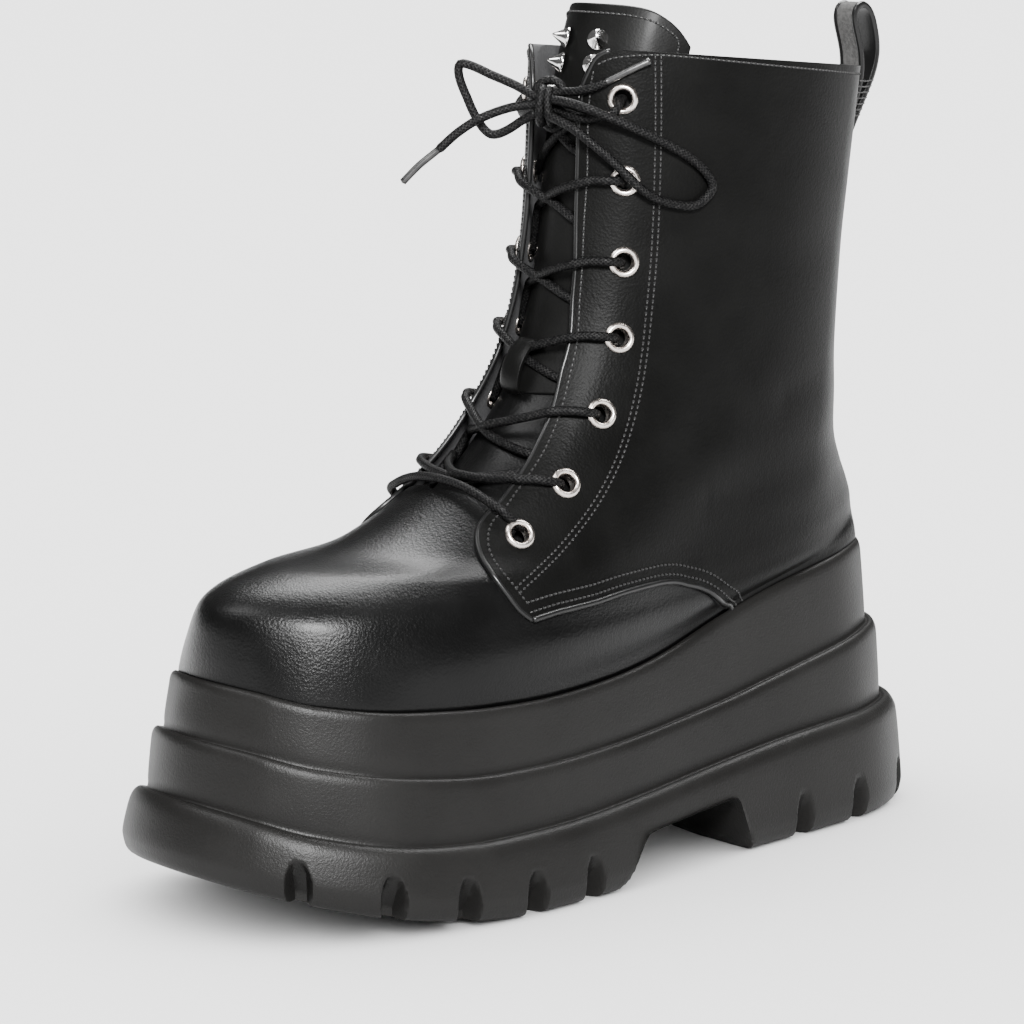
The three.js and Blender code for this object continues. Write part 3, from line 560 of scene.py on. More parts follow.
def ladder(base, flip):
    """Faces across a closed ring, between the points that face each other over its length."""
    rungs = []
    for j in range(half_count):
        a, b, c, d = base + j, base + j + 1, base + (count - j - 1) % count, base + (count - j) % count
        quad = [a, b, c, d] if j else [a, b, c]
        if b == c:
            quad = [a, b, d]
        rungs.append(tuple(quad if flip else quad[::-1]))
    return rungs


faces += ladder(0, False) + ladder((len(stack) - 1) * count, True)

rubber = Paint("moulded_rubber", Roughness=0.6, Specular_IOR_Level=0.13)
pebble = rubber.noise(2600, 3)
cloud = rubber.noise(38, 3)
rub = rubber.step(cloud * 0.5 + pebble * 0.5, 0.35, 0.65)
rubber_finish = rubber.finish(
    Base_Color=rubber.blend(rub, (0.0048, 0.0046, 0.0044, 1), (0.0066, 0.0064, 0.0061, 1)),
    Roughness=rubber.step(cloud, 0.3, 0.7, 0.4, 0.46),
    Normal=rubber.bump(rubber.noise(1300, 2), 0.5, 0.00018, rubber.bump(pebble, 0.3, 0.0001)),
)
sole = new_piece("sole_unit", np.vstack(stack) * MM, faces, [rubber_finish], smooth_angle=38)
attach(sole, "root")
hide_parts("unit_sole")

# ---- Vamp
# The front of the upper, pebble-grained leather lasted over a broad round toe and stuck down into
# the seat of the sole. It runs back under the quarters and stops where the throat begins.
LAST = table("at backY backZ frontY frontZ dip heel waist ball toe", [
    (0, 127, 84, -127, 69.5, 17, 26.5, 31, 41, 33),
    (1, 129, 93, -127, 82, 16, 28, 33, 42.5, 34),
    (2, 128.8, 101, -122, 93.5, 13, 29, 33, 40.4, 32.1),
    (3, 126, 107.5, -104, 101, 9, 29, 32.5, 37.5, 29.4),
    (4, 121.6, 115, -75, 105.5, 5.5, 29, 32.5, 35.5, 28),
    (5, 117.2, 125, -44, 120.5, 3, 28.5, 33, 33.5, 27.5),
    (6, 115.6, 139, -23.5, 139, 1.5, 28.5, 33.5, 32, 25.5),
    (7, 114.4, 157, -8.5, 163, 0, 28.5, 34.5, 31.5, 24),
    (8, 116.8, 190, -0.8, 196, 0, 28.5, 35.5, 33, 24),
    (9, 123.4, 241, 3, 251.5, 0, 29.5, 37.5, 35.5, 25.5),
])
WIDTH_PLACES = np.array([0, 0.18, 0.42, 0.68, 0.88, 1])
LAST_TOP = 9
MIDDLE = -1.5
# The foot of the upper follows the seat of the sole up to SEAT_LEVEL, and is clear of it at SEAT_END.
SEAT_LEVEL, SEAT_END, SEAT_RISE = 0.22, 1.7, 11
# The curve of the sole's middle fades out of the last by this level.
STRAIGHT_LEVEL = 6
# Past its top the last runs on straight, along its last small step.
TOP_STEP = 0.1


def last_point(turn, level):
    """Point of the last in millimetres: turn runs round the boot, level from its foot to its top."""
    turn, level = np.broadcast_arrays(np.asarray(turn, float), np.asarray(level, float))
    shape, turn, level = turn.shape, turn.ravel(), level.ravel()
    over = np.maximum(level - LAST_TOP, 0)
    level = np.minimum(level, LAST_TOP)

    def at(name):
        return cubic(LAST["at"], LAST[name], level)

    fraction = (1 - np.cos(turn)) / 2
    side = np.where(np.sin(turn) >= 0, 1, -1)
    y = at("backY") + (at("frontY") - at("backY")) * fraction
    z = at("backZ") + (at("frontZ") - at("backZ")) * fraction - at("dip") * np.sin(math.pi * fraction)
    nothing = np.zeros_like(level)
    squares = np.stack([nothing] + [at(name) ** 2 for name in ("heel", "waist", "ball", "toe")] + [nothing])
    half = np.sqrt(np.maximum(cubic(WIDTH_PLACES, squares, fraction), 0))
    curve = cubic(PLAN["at"], PLAN["centre"], 0.5 - y / SOLE_LENGTH) - MIDDLE
    centre = MIDDLE + curve * np.maximum(0, 1 - level / STRAIGHT_LEVEL)
    oval = np.stack([centre + side * half, y, z], axis=1)
    seat_x, seat_y = plan_point(turn, LEDGE_INSET + GAP)
    seat = np.stack([seat_x, seat_y, line_at("rim", seat_y) - RECESS + GAP + SEAT_RISE * level], axis=1)
    hold = (1 - smoothstep(level, SEAT_LEVEL, SEAT_END))[:, None]
    place = oval + (seat - oval) * hold
    if over.any():
        under = last_point(turn, np.full_like(level, LAST_TOP - TOP_STEP))
        place = np.where(over[:, None] > 0, place + (place - under) * (over / TOP_STEP)[:, None], place)
    return place.reshape(shape + (3,))


NUDGE = 0.02


def last_normal(turn, level):
    """Direction straight out of the last."""
    base = np.clip(level, NUDGE, LAST_TOP - NUDGE)
    around = last_point(turn + NUDGE, base) - last_point(turn - NUDGE, base)
    up = last_point(turn, base + NUDGE) - last_point(turn, base - NUDGE)
    normal = np.cross(up, around)
    return normal / np.linalg.norm(normal, axis=-1)[..., None]


# A search over the last: points of its first grid, the steps of its second, and how often they halve.
SEARCH = {"turns": 97, "levels": 46, "turn_step": 0.035, "level_step": 0.1, "rounds": 10}


def nearest(points):
    """Turn and level of the places on the last nearest to points."""
    points = np.array(points, float).reshape(-1, 1, 3)
    grid = np.meshgrid(np.linspace(0, 2 * math.pi, SEARCH["turns"]),
                       np.linspace(0, LAST_TOP, SEARCH["levels"]))
    turns, levels = (axis.ravel() for axis in grid)
    best = np.linalg.norm(last_point(turns, levels) - points, axis=-1).argmin(axis=1)
    turn, level = turns[best], levels[best]
    turn_step, level_step = SEARCH["turn_step"], SEARCH["level_step"]
    offsets = np.array([(i, j) for i in range(-3, 4) for j in range(-3, 4)], float)
    for _ in range(SEARCH["rounds"]):
        turns = turn[:, None] + offsets[:, 0] * turn_step
        levels = np.clip(level[:, None] + offsets[:, 1] * level_step, 0, LAST_TOP)
        best = np.linalg.norm(last_point(turns, levels) - points, axis=-1).argmin(axis=1)
        turn, level = (np.take_along_axis(a, best[:, None], 1)[:, 0] for a in (turns, levels))
        turn_step, level_step = turn_step * 0.5, level_step * 0.5
    return turn, level


# Soft folds where the foot bends: a line on the last, its width and its height (troughs negative).
FOLDS = [
    {"line": [(30, 112, 122), (35, 92, 116), (36, 66, 114), (37, 38, 112)], "width": 5, "height": -0.8},
    {"line": [(29, 112, 134), (34, 90, 129), (36, 64, 127), (36, 40, 124)], "width": 6.5, "height": 0.5},
    {"line": [(28, 111, 148), (33, 94, 145), (35, 72, 141)], "width": 5.5, "height": -0.6},
    {"line": [(34, 26, 128), (37, 40, 140), (37, 58, 158)], "width": 8, "height": -0.5},
    {"line": [(31, 108, 190), (36, 84, 186), (37, 60, 184)], "width": 10, "height": -0.5},
]


def fold_height(points):
    """Height of the folds at points of the upper, the same on both sides of it."""
    mirrored = np.abs(points - (MIDDLE, 0, 0)) * (1, 0, 0) + points * (0, 1, 1) + (MIDDLE, 0, 0)
    total = np.zeros(points.shape[:-1])
    for fold in FOLDS:
        line = smooth_path(fold["line"], 6)
        line[:, 0] = np.abs(line[:, 0] - MIDDLE) + MIDDLE
        off = np.linalg.norm(mirrored[..., None, :] - line, axis=-1).min(axis=-1)
        total += fold["height"] * np.exp(-(off / fold["width"]) ** 2)
    return total


FEATHER_SWELL = {"height": 1.3, "rise": 0.3, "from": 0.6, "to": 2.0}
TOE_SWELL = {"height": 2.2, "rise": 0.5, "level": 1.65, "spread": 1.5, "full": 0.35, "end": 1.35}


def swell(turn, level):
    """How far the leather bulges: over the rim all round, and over the toe."""
    foot = smoothstep(level, 0, FEATHER_SWELL["rise"])
    foot = foot * (1 - smoothstep(level, FEATHER_SWELL["from"], FEATHER_SWELL["to"]))
    toe = np.exp(-((level - TOE_SWELL["level"]) / TOE_SWELL["spread"]) ** 2)
    toe = toe * (1 - smoothstep(np.abs(turn - math.pi), TOE_SWELL["full"], TOE_SWELL["end"]))
    toe = toe * smoothstep(level, 0, TOE_SWELL["rise"])
    return FEATHER_SWELL["height"] * foot + TOE_SWELL["height"] * toe * (1 - foot)


def skin(turn, level, height=0.0):
    """Point a height above the last, folds and all."""
    place = last_point(turn, level)
    return place + last_normal(turn, level) * (height + fold_height(place) + swell(turn, level))[..., None]


def shell(name, outer, inner, materials, edge=0.35, wrap=False):
    """Closed wall between two grids of points that run the same way; the inner face takes the
    second material, and the rim is bevelled by the edge in millimetres."""
    rows, columns = outer.shape[:2]
    points = np.concatenate([outer.reshape(-1, 3), inner.reshape(-1, 3)])
    back = rows * columns
    faces, kinds = [], []
    spans = columns if wrap else columns - 1
    for r in range(rows - 1):
        for c in range(spans):
            a, b = r * columns + c, r * columns + (c + 1) % columns
            quad = (a, b, b + columns, a + columns)
            faces += [quad, tuple(back + q for q in quad[::-1])]
            kinds += [0, 1]
    for c in range(spans):
        d = (c + 1) % columns
        top = (rows - 1) * columns
        faces += [(d, c, back + c, back + d), (top + c, top + d, back + top + d, back + top + c)]
        kinds += [0, 0]
    if not wrap:
        for r in range(rows - 1):
            a, b = r * columns, (r + 1) * columns
            c, d = a + columns - 1, b + columns - 1
            faces += [(a, b, back + b, back + a), (d, c, back + c, back + d)]
            kinds += [0, 0]
    piece = new_piece(name, points * MM, faces, materials, smooth_angle=None)
    if len(materials) > 1:
        piece.data.polygons.foreach_set("material_index", kinds)
    first = outer[0, 0], outer[0, 1], outer[1, 0]
    facing_out = np.cross(first[1] - first[0], first[2] - first[0]).dot(outer[0, 0] - inner[0, 0])
    if facing_out < 0:
        piece.data.flip_normals()
    piece.data.set_sharp_from_angle(angle=math.radians(50))
    bevel = piece.modifiers.new("edge", "BEVEL")
    bevel.width, bevel.segments = edge * MM, 2
    bevel.limit_method, bevel.angle_limit = "ANGLE", math.radians(60)
    return piece


def leather(name, grain, size, base, rough, sheen, polish):
    """Black leather: how deep its pebbles are in millimetres, how wide, and how it shines."""
    paint = Paint(name, Coat_Weight=sheen, Coat_Roughness=0.2, Specular_IOR_Level=polish)
    cells = paint.add("ShaderNodeTexVoronoi", {"feature": "SMOOTH_F1"},
                      {"Vector": paint.place(), "Scale": 1000 / size, "Smoothness": 0.45})
    pores = paint.noise(5200 / size, 3)
    broad = paint.noise(55, 4)
    height = cells * 0.8 + pores * 0.5 + paint.noise(400 / size, 2) * 0.9
    tint = paint.blend(paint.step(broad, 0.35, 0.7), (*base, 1), (*[c * 1.25 + 0.0003 for c in base], 1))
    shine = paint.step(broad * 0.6 + pores * 0.4, 0.35, 0.65, rough - 0.02, rough + 0.03)
    return paint.finish(Base_Color=tint, Roughness=shine, Normal=paint.bump(height, 0.85, grain * MM))


LAYER = {"vamp": -0.35, "vamp_back": -1.5, "quarter": 0.75, "wall": -2.2, "lap": -0.3}
grained = leather("grained_leather", 0.095, 0.75, (0.0016, 0.0016, 0.0016), 0.3, 0.03, 0.11)
cloth = Paint("fabric_lining", Roughness=0.9)
lining = cloth.finish(
    Base_Color=cloth.blend(cloth.step(cloth.noise(1400), 0.4, 0.6), (0.018, 0.018, 0.019, 1),
                           (0.03, 0.03, 0.031, 1)),
    Normal=cloth.bump(cloth.noise(1800), 0.5, 0.0002),
)

# Top of the vamp: turn from the middle of the toe, and level.
VAMP_TOP = table("off level", [
    (0, 4.98), (0.2, 4.98), (0.39, 4.87), (0.5, 4.72), (0.62, 4.62), (0.9, 4.4), (1.2, 3.9), (1.6, 3.0),
    (2.2, 2.0), (math.pi, 1.2),
])
VAMP_ROUND, VAMP_RISE = 300, 110
FOOT_LEVEL = 0.03
turn = np.linspace(0, 2 * math.pi, VAMP_ROUND, endpoint=False)[None, :]
rise = np.linspace(0, 1, VAMP_RISE)[:, None]
top = cubic(VAMP_TOP["off"], VAMP_TOP["level"], np.abs(turn - math.pi))
level = FOOT_LEVEL + (top - FOOT_LEVEL) * rise
turn = np.broadcast_to(turn, level.shape)
vamp = shell("vamp", skin(turn, level, LAYER["vamp"]), skin(turn, level, LAYER["vamp_back"]),
             [grained, lining], wrap=True)

# ---- Quarters
# The two halves of the shaft, smooth matt leather closed up the back seam. Each laps over the
# vamp with a front edge beside the throat and a curved, piped bottom edge over the outer foot.
smooth_black = leather("smooth_leather", 0.09, 0.8, (0.0018, 0.0018, 0.0017), 0.42, 0.0, 0.05)
THROAT_EDGE = [
    (21.6, 11.5, 250.8), (17.0, 7.6, 249.9), (13.6, 6.9, 247.6), (11.9, 6.5, 244.4), (10.3, 5.4, 239.9),
    (9.9, 5.0, 234), (9.6, 4.5, 229.3), (9.8, 3.6, 214.2), (10.3, 2.8, 199.1), (11.5, 1.4, 187.1),
    (12.2, -0.4, 175), (14.2, -3.2, 163.2), (14.7, -6.8, 154.4), (17.1, -12.5, 142.9), (18, -18.5, 134.4),
    (19.5, -24.9, 127.6), (20.7, -32.5, 121), (21.3, -37.3, 117.1), (21.2, -41.8, 114.2),
]
FRONT_EDGE = [
    (21.2, -41.8, 114.2), (22.3, -45.6, 111.9), (24.4, -48.3, 109), (27.8, -50.1, 105.8),
    (31.8, -50.3, 101.3), (35.5, -49.6, 97.2), (38.5, -47.4, 92.9), (40.5, -44.5, 88.3), (41.5, -41.1, 85.6),
]
BOTTOM_EDGE = [
    (41.5, -41.1, 85.6), (41.8, -30.5, 86.9), (40.7, -14.3, 87.6), (38.9, -1.9, 88.6), (35.6, 15.1, 88.9),
    (34.2, 27.5, 86.6), (31.8, 38.2, 82.7), (29.2, 48, 77.2), (28, 53.8, 72),
]


def both_sides(turns):
    """The turns of something on the outer side of the boot, and its mirror image on the inner side."""
    return ("lateral", turns), ("medial", 2 * math.pi - turns)


def on_last(points, per_span=8):
    """A line on the last as its turns and levels, smoothed."""
    turns, levels = nearest(points)
    line = smooth_path(np.stack([turns, levels, np.zeros_like(turns)], axis=1), per_span)
    return line[:, 0], line[:, 1]


def evenly(turns, levels, count):
    """The same line with a number of points at even steps over the last."""
    steps = np.linalg.norm(np.diff(last_point(turns, levels), axis=0), axis=1)
    at = np.concatenate([[0], np.cumsum(steps)])
    even = np.linspace(0, at[-1], count)
    return np.stack([np.interp(even, at, turns), np.interp(even, at, levels)], axis=1)


QUARTER_RISE, QUARTER_RUN = 190, 150
BACK_STEPS, TOP_STEPS = 60, 80
# The collar rises to the top of the facing over this share of its run.
COLLAR_RISE = (0.6, 1)
# The four sides of a quarter as turns and levels: throat and front edge, foot, collar and back seam.
throat_line, front_line = on_last(THROAT_EDGE), on_last(FRONT_EDGE)
front_turns, front_levels = (np.concatenate([a, b[1:]]) for a, b in zip(throat_line, front_line))
front_side = evenly(front_turns[::-1], front_levels[::-1], QUARTER_RISE)
bottom_turns, bottom_levels = on_last(BOTTOM_EDGE[::-1])
back_run = np.linspace(0, bottom_turns[0], BACK_STEPS)[:-1]
bottom_side = evenly(np.concatenate([back_run, bottom_turns]),
                     np.concatenate([np.full_like(back_run, FOOT_LEVEL), bottom_levels]), QUARTER_RUN)
top_run = np.linspace(0, front_side[-1, 0], TOP_STEPS)
top_rise = LAST_TOP + (front_side[-1, 1] - LAST_TOP) * smoothstep(top_run / top_run[-1], *COLLAR_RISE)
top_side = evenly(top_run, top_rise, QUARTER_RUN)
back_side = evenly(np.zeros(TOP_STEPS), np.linspace(FOOT_LEVEL, LAST_TOP, TOP_STEPS), QUARTER_RISE)
bottom_side[-1], top_side[-1] = front_side[0], front_side[-1]
# The surface between them: both pairs of sides blended, less the corners that they share.
u, v = np.linspace(0, 1, QUARTER_RUN)[None, :, None], np.linspace(0, 1, QUARTER_RISE)[:, None, None]
patch = ((1 - v) * bottom_side[None] + v * top_side[None]
         + (1 - u) * back_side[:, None] + u * front_side[:, None]
         - (1 - u) * (1 - v) * bottom_side[0] - u * (1 - v) * bottom_side[-1]
         - (1 - u) * v * top_side[0] - u * v * top_side[-1])
# The wall is full thickness, and skived thin where it laps over the vamp and towards the throat.
LAP = (-0.05, 0.35)
THROAT_SKIVE, THROAT_THIN = (0.9, 1), 0.7
from_vamp = patch[..., 1] - cubic(VAMP_TOP["off"], VAMP_TOP["level"], math.pi - patch[..., 0])
depth = LAYER["lap"] + (LAYER["wall"] - LAYER["lap"]) * smoothstep(from_vamp, *LAP)
depth = depth * (1 - smoothstep(u[..., 0], *THROAT_SKIVE) * THROAT_THIN)
# Eyelet places of the outer side from the top down; the inner side mirrors them.
EYELETS = [
    (20.2, 12.5, 235.9), (21.3, 12.5, 211.2), (22.2, 11.4, 186.6), (23.6, 8.3, 163.8), (25.6, -0.6, 141.5),
    (28.1, -17.1, 122.1), (29.4, -36.3, 108.9),
]
HOLE = 3.55
HOLE_SIDES = 28
PUNCH_IN, PUNCH_OUT = 8, 6
eyelet_turns, eyelet_levels = nearest(EYELETS)


def frame_on(turn, level):
    """A place on the last with three directions: towards the throat, up the boot, and outward."""
    out = last_normal(np.array([turn]), np.array([level]))[0]
    up = last_point(turn, level + NUDGE) - last_point(turn, level - NUDGE)
    up = up - out * up.dot(out)
    up /= np.linalg.norm(up)
    return last_point(turn, level), np.cross(up, out), up, out


def lathed(profile, turn, level, sides):
    """Points and faces of a closed ring turned about the normal of the last at a place."""
    middle, across_it, up, out = frame_on(turn, level)
    angle = np.arange(sides) / sides * 2 * math.pi
    radial = np.outer(np.cos(angle), across_it) + np.outer(np.sin(angle), up)
    points = np.concatenate([middle + radial * r + out * h for r, h in profile])
    rows = len(profile)
    faces = [(r * sides + j, r * sides + (j + 1) % sides, (r + 1) % rows * sides + (j + 1) % sides,
              (r + 1) % rows * sides + j) for r in range(rows) for j in range(sides)]
    return points, faces


def made_plain(piece, *helpers):
    """The piece with its modifiers worked into its mesh, and the objects they needed removed."""
    bpy.context.view_layer.update()
    mesh = bpy.data.meshes.new_from_object(piece.evaluated_get(bpy.context.evaluated_depsgraph_get()))
    piece.modifiers.clear()
    piece.data = mesh
    for helper in helpers:
        bpy.data.objects.remove(helper)
    return piece


def punched(piece, turns, levels):
    """The piece with a round hole through it at each place."""
    points, faces = [], []
    for turn, level in zip(turns, levels):
        middle, across_it, up, out = frame_on(turn, level)
        angle = np.arange(HOLE_SIDES) / HOLE_SIDES * 2 * math.pi
        radial = (np.outer(np.cos(angle), across_it) + np.outer(np.sin(angle), up)) * HOLE
        base = sum(len(p) for p in points)
        points += [middle + radial - out * PUNCH_IN, middle + radial + out * PUNCH_OUT]
        low = range(base, base + HOLE_SIDES)
        high = range(base + HOLE_SIDES, base + 2 * HOLE_SIDES)
        faces += [tuple(low[::-1]), tuple(high)]
        for j in range(HOLE_SIDES):
            k = (j + 1) % HOLE_SIDES
            faces.append((low[j], low[k], high[k], high[j]))
    cutter = new_piece("hole_punch", np.concatenate(points) * MM, faces, [])
    cut = piece.modifiers.new("holes", "BOOLEAN")
    cut.object, cut.operation, cut.solver = cutter, "DIFFERENCE", "EXACT"
    while piece.modifiers[0] != cut:
        piece.modifiers.move(len(piece.modifiers) - 1, 0)
    return made_plain(piece, cutter)


punched(vamp, [eyelet_turns[-1], 2 * math.pi - eyelet_turns[-1]], [eyelet_levels[-1]] * 2)
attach(vamp, "root")
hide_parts("upper")
for (side_name, turns), (_, hole_turns) in zip(both_sides(patch[..., 0]), both_sides(eyelet_turns)):
    outer, inner = skin(turns, patch[..., 1], LAYER["quarter"]), skin(turns, patch[..., 1], depth)
    quarter = shell(f"quarter_{side_name}", outer, inner, [smooth_black, lining])
    punched(quarter, hole_turns, eyelet_levels)
    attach(quarter, "root")
    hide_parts("upper")

# ---- Piping of the quarters
# A thin rolled cord of leather sewn along the curved bottom edge of each quarter.
PIPING, PIPING_HEIGHT = 2.0, 0.55
edge_leather = leather("edge_leather", 0.02, 0.7, (0.004, 0.004, 0.004), 0.32, 0.08, 0.2)
piping_turns, piping_levels = on_last(BOTTOM_EDGE, 10)
for side_name, turns in both_sides(piping_turns):
    line = skin(turns, piping_levels, PIPING_HEIGHT)
    piping = rope(f"piping_{side_name}", line, PIPING, [edge_leather], sides=12)
    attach(piping, "root")
    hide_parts("upper")

# ---- Rolled edge of the facings
# The front edge of each quarter, turned over and burnished: a slim round of the same leather that
# runs from the collar down beside the throat and round the foot of the facing.
ROLLED_EDGE, ROLLED_HEIGHT = 1.7, 0.1
for side_name, turns in both_sides(front_side[:-4, 0]):
    line = skin(turns, front_side[:-4, 1], ROLLED_HEIGHT)
    rolled = rope(f"rolled_edge_{side_name}", line, ROLLED_EDGE, [edge_leather], sides=12)
    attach(rolled, "root")
    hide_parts("upper")

# ---- Eyelets
# Seven pairs of rolled nickel rings set through the wall along the facings.
# Section of a ring: radius and height over the leather.
RING = smooth_path([(2.75, -2.7, 0), (2.75, 0.6, 0), (2.95, 1.5, 0), (3.6, 2.0, 0), (4.3, 1.7, 0),
                    (4.75, 0.95, 0), (4.6, 0.72, 0), (3.4, 0.7, 0), (3.35, -2.7, 0)], 3)[:, :2]
RING_SIDES = 44
nickel = Paint("nickel", Metallic=1.0, Roughness=0.28)
nickel_finish = nickel.finish(
    Base_Color=nickel.blend(nickel.step(nickel.noise(300), 0.35, 0.7), (0.58, 0.53, 0.49, 1),
                            (0.66, 0.61, 0.57, 1)),
    Roughness=nickel.step(nickel.noise(900, 3), 0.3, 0.7, 0.24, 0.34),
)
for side_name, turns in both_sides(eyelet_turns):
    for number, (turn, level) in enumerate(zip(turns, eyelet_levels), 1):
        points, faces = lathed(RING, turn, level, RING_SIDES)
        name = f"ring_{side_name}_{number}"
        ring = new_piece(name, points * MM, faces, [nickel_finish], smooth_angle=None)
        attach(ring, "root")
        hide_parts(f"eyelet_{side_name}_{number}")

# ---- Tongue
# A lower part of grained leather that is sewn under the mouth of the vamp, and a padded upper part
# of smooth leather over it, with a rounded top that leans back out of the collar.
TONGUE = {"spread": 0.95, "bottom": 4.3, "top": 9.225, "round": 0.2, "lean_from": 200, "lean": 0.0022}
TONGUE_FACE = 6.2
TONGUE_SEAM = 0.44
tongue_black = leather("tongue_leather", 0.04, 0.7, (0.0022, 0.0022, 0.0021), 0.42, 0.02, 0.07)


def tongue_point(u, v, depth):
    """u runs across the tongue and v up it, both from 0 to 1; depth is how far under the last."""
    turn = math.pi + (u - 0.5) * 2 * TONGUE["spread"]
    top = TONGUE["top"] - TONGUE["round"] * np.abs(2 * u - 1) ** 5
    level = TONGUE["bottom"] + (top - TONGUE["bottom"]) * v
    turn, level, depth = np.broadcast_arrays(turn, level, depth)
    place = last_point(turn, level) - last_normal(turn, level) * depth[..., None]
    place[..., 1] += TONGUE["lean"] * np.maximum(0, place[..., 2] - TONGUE["lean_from"]) ** 2
    return place


TONGUE_PARTS = [
    {"name": "tongue_lower", "from": 0.0, "to": TONGUE_SEAM + 0.03, "rows": 90,
     "lift": 0.0, "thick": 1.8, "puff": 0.0, "paint": grained},
    {"name": "tongue_upper", "from": TONGUE_SEAM, "to": 1.0, "rows": 130,
     "lift": 0.9, "thick": 3.6, "puff": 0.5, "paint": tongue_black},
]
for part in TONGUE_PARTS:
    u, v = np.linspace(0, 1, 90)[None, :], np.linspace(part["from"], part["to"], part["rows"])[:, None]
    share = (v - part["from"]) / (part["to"] - part["from"])
    puff = part["puff"] * (1 - np.abs(2 * u - 1) ** 6) * np.clip(1 - np.abs(2 * share - 1) ** 10, 0, 1)
    face = TONGUE_FACE - part["lift"]
    outer, inner = tongue_point(u, v, face - puff), tongue_point(u, v, face + part["thick"])
    tongue = shell(part["name"], outer, inner, [part["paint"], lining], edge=0.5)
    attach(tongue, "root")
    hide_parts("tongue")

# ---- Cone studs
# Six chromed cones in two columns down the top of the tongue, each with a small rolled foot.
# Outline of a stud: radius and height. Its axis leans outward by the splay.
STUD_PROFILE = [(3.3, 0.0), (3.4, 0.35), (3.25, 0.75), (3.0, 1.0), (2.5, 1.7), (1.7, 2.9), (0.9, 4.2),
                (0.4, 5.0)]
STUD_TIP = 5.25
STUD_SPLAY = 0.45
STUD_HEIGHTS = [253, 245.5, 237]
STUD_SPACING = 7
STUD_SIDES = 36
STUD_FACE = TONGUE_FACE - 1.3
chrome = Paint("chrome", Metallic=1.0, Roughness=0.12)
chrome_finish = chrome.finish(
    Base_Color=chrome.blend(chrome.step(chrome.noise(500), 0.4, 0.6), (0.75, 0.74, 0.73, 1),
                            (0.84, 0.83, 0.82, 1)),
    Roughness=chrome.step(chrome.noise(1200, 3), 0.3, 0.7, 0.08, 0.18),
)
search_u, search_v = np.meshgrid(np.linspace(0.3, 0.7, 161), np.linspace(0.7, 1, 241))
tongue_grid = tongue_point(search_u, search_v, STUD_FACE)
from_middle = tongue_grid[..., 0] - last_point(math.pi, LAST_TOP)[0]
for side_name, side in (("lateral", 1), ("medial", -1)):
    for number, height in enumerate(STUD_HEIGHTS, 1):
        off = np.hypot(from_middle - side * STUD_SPACING, tongue_grid[..., 2] - height)
        i, j = np.unravel_index(off.argmin(), off.shape)
        spot = tongue_grid[i, j]
        near_u, near_v = search_u[i, j], search_v[i, j]
        across_it = (tongue_point(near_u + 0.01, near_v, STUD_FACE)
                     - tongue_point(near_u - 0.01, near_v, STUD_FACE))
        up = spot - tongue_point(near_u, near_v - 0.005, STUD_FACE)
        out = np.cross(up, across_it)
        out = out / np.linalg.norm(out) + np.array((side * STUD_SPLAY, 0, 0))
        out /= np.linalg.norm(out)
        across_it -= out * across_it.dot(out)
        across_it /= np.linalg.norm(across_it)
        up = np.cross(out, across_it)
        angle = np.arange(STUD_SIDES) / STUD_SIDES * 2 * math.pi
        radial = np.outer(np.cos(angle), across_it) + np.outer(np.sin(angle), up)
        turned = [spot + radial * r + out * h for r, h in STUD_PROFILE]
        points = np.concatenate(turned + [[spot + out * STUD_TIP]])
        tip = len(points) - 1
        faces = []
        for base in range(0, tip, STUD_SIDES):
            for k in range(STUD_SIDES):
                a, b = base + k, base + (k + 1) % STUD_SIDES
                top_row = base + STUD_SIDES == tip
                faces.append((a, b, tip) if top_row else (a, b, b + STUD_SIDES, a + STUD_SIDES))
        faces.append(tuple(range(STUD_SIDES))[::-1])
        name = f"cone_{side_name}_{number}"
        cone = new_piece(name, points * MM, faces, [chrome_finish], smooth_angle=50)
        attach(cone, "root")
        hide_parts(f"stud_{side_name}_{number}")

# ---- Lacing
# The lace comes out of each eyelet, runs over the facing and down across the tongue, and goes
# under the other facing to the next eyelet. It lies flat over the vamp between the bottom pair.
THROAT = table("at half", [
    (5.4, 21.1), (5.8, 19.5), (6.2, 18.5), (6.7, 16.4), (7, 15.5), (7.4, 13.9), (8, 11.9), (8.76, 11.7),
    (9, 11.7),
])
# How deep a run passes under the far facing, and how deep each side's run lies at the crossing.
UNDER = -3.95
SINK = {1: 2.0, -1: 3.95}
# How far down towards the next eyelet each side's run has come there, and the lowest that may be.
ARRIVE = {1: 0.3, -1: 0.45}
LOWEST_ARRIVAL = 5.4


def over_front(x, level, height):
    """Points over the front of the last: x from the middle of the throat, level, and height."""
    x, level, height = np.broadcast_arrays(*(np.asarray(a, float) for a in (x, level, height)))
    middle = last_point(np.full(x.shape, math.pi), level)[..., 0]
    low, high = np.full(x.shape, math.pi / 2), np.full(x.shape, 1.5 * math.pi)
    for _ in range(26):
        turn = (low + high) / 2
        right = last_point(turn, level)[..., 0] - middle > x
        low, high = np.where(right, turn, low), np.where(right, high, turn)
    return last_point(low, level) + last_normal(low, level) * height[..., None]


def throat_half(level):
    """Half the width of the throat at a level."""
    return float(cubic(THROAT["at"], THROAT["half"], level))


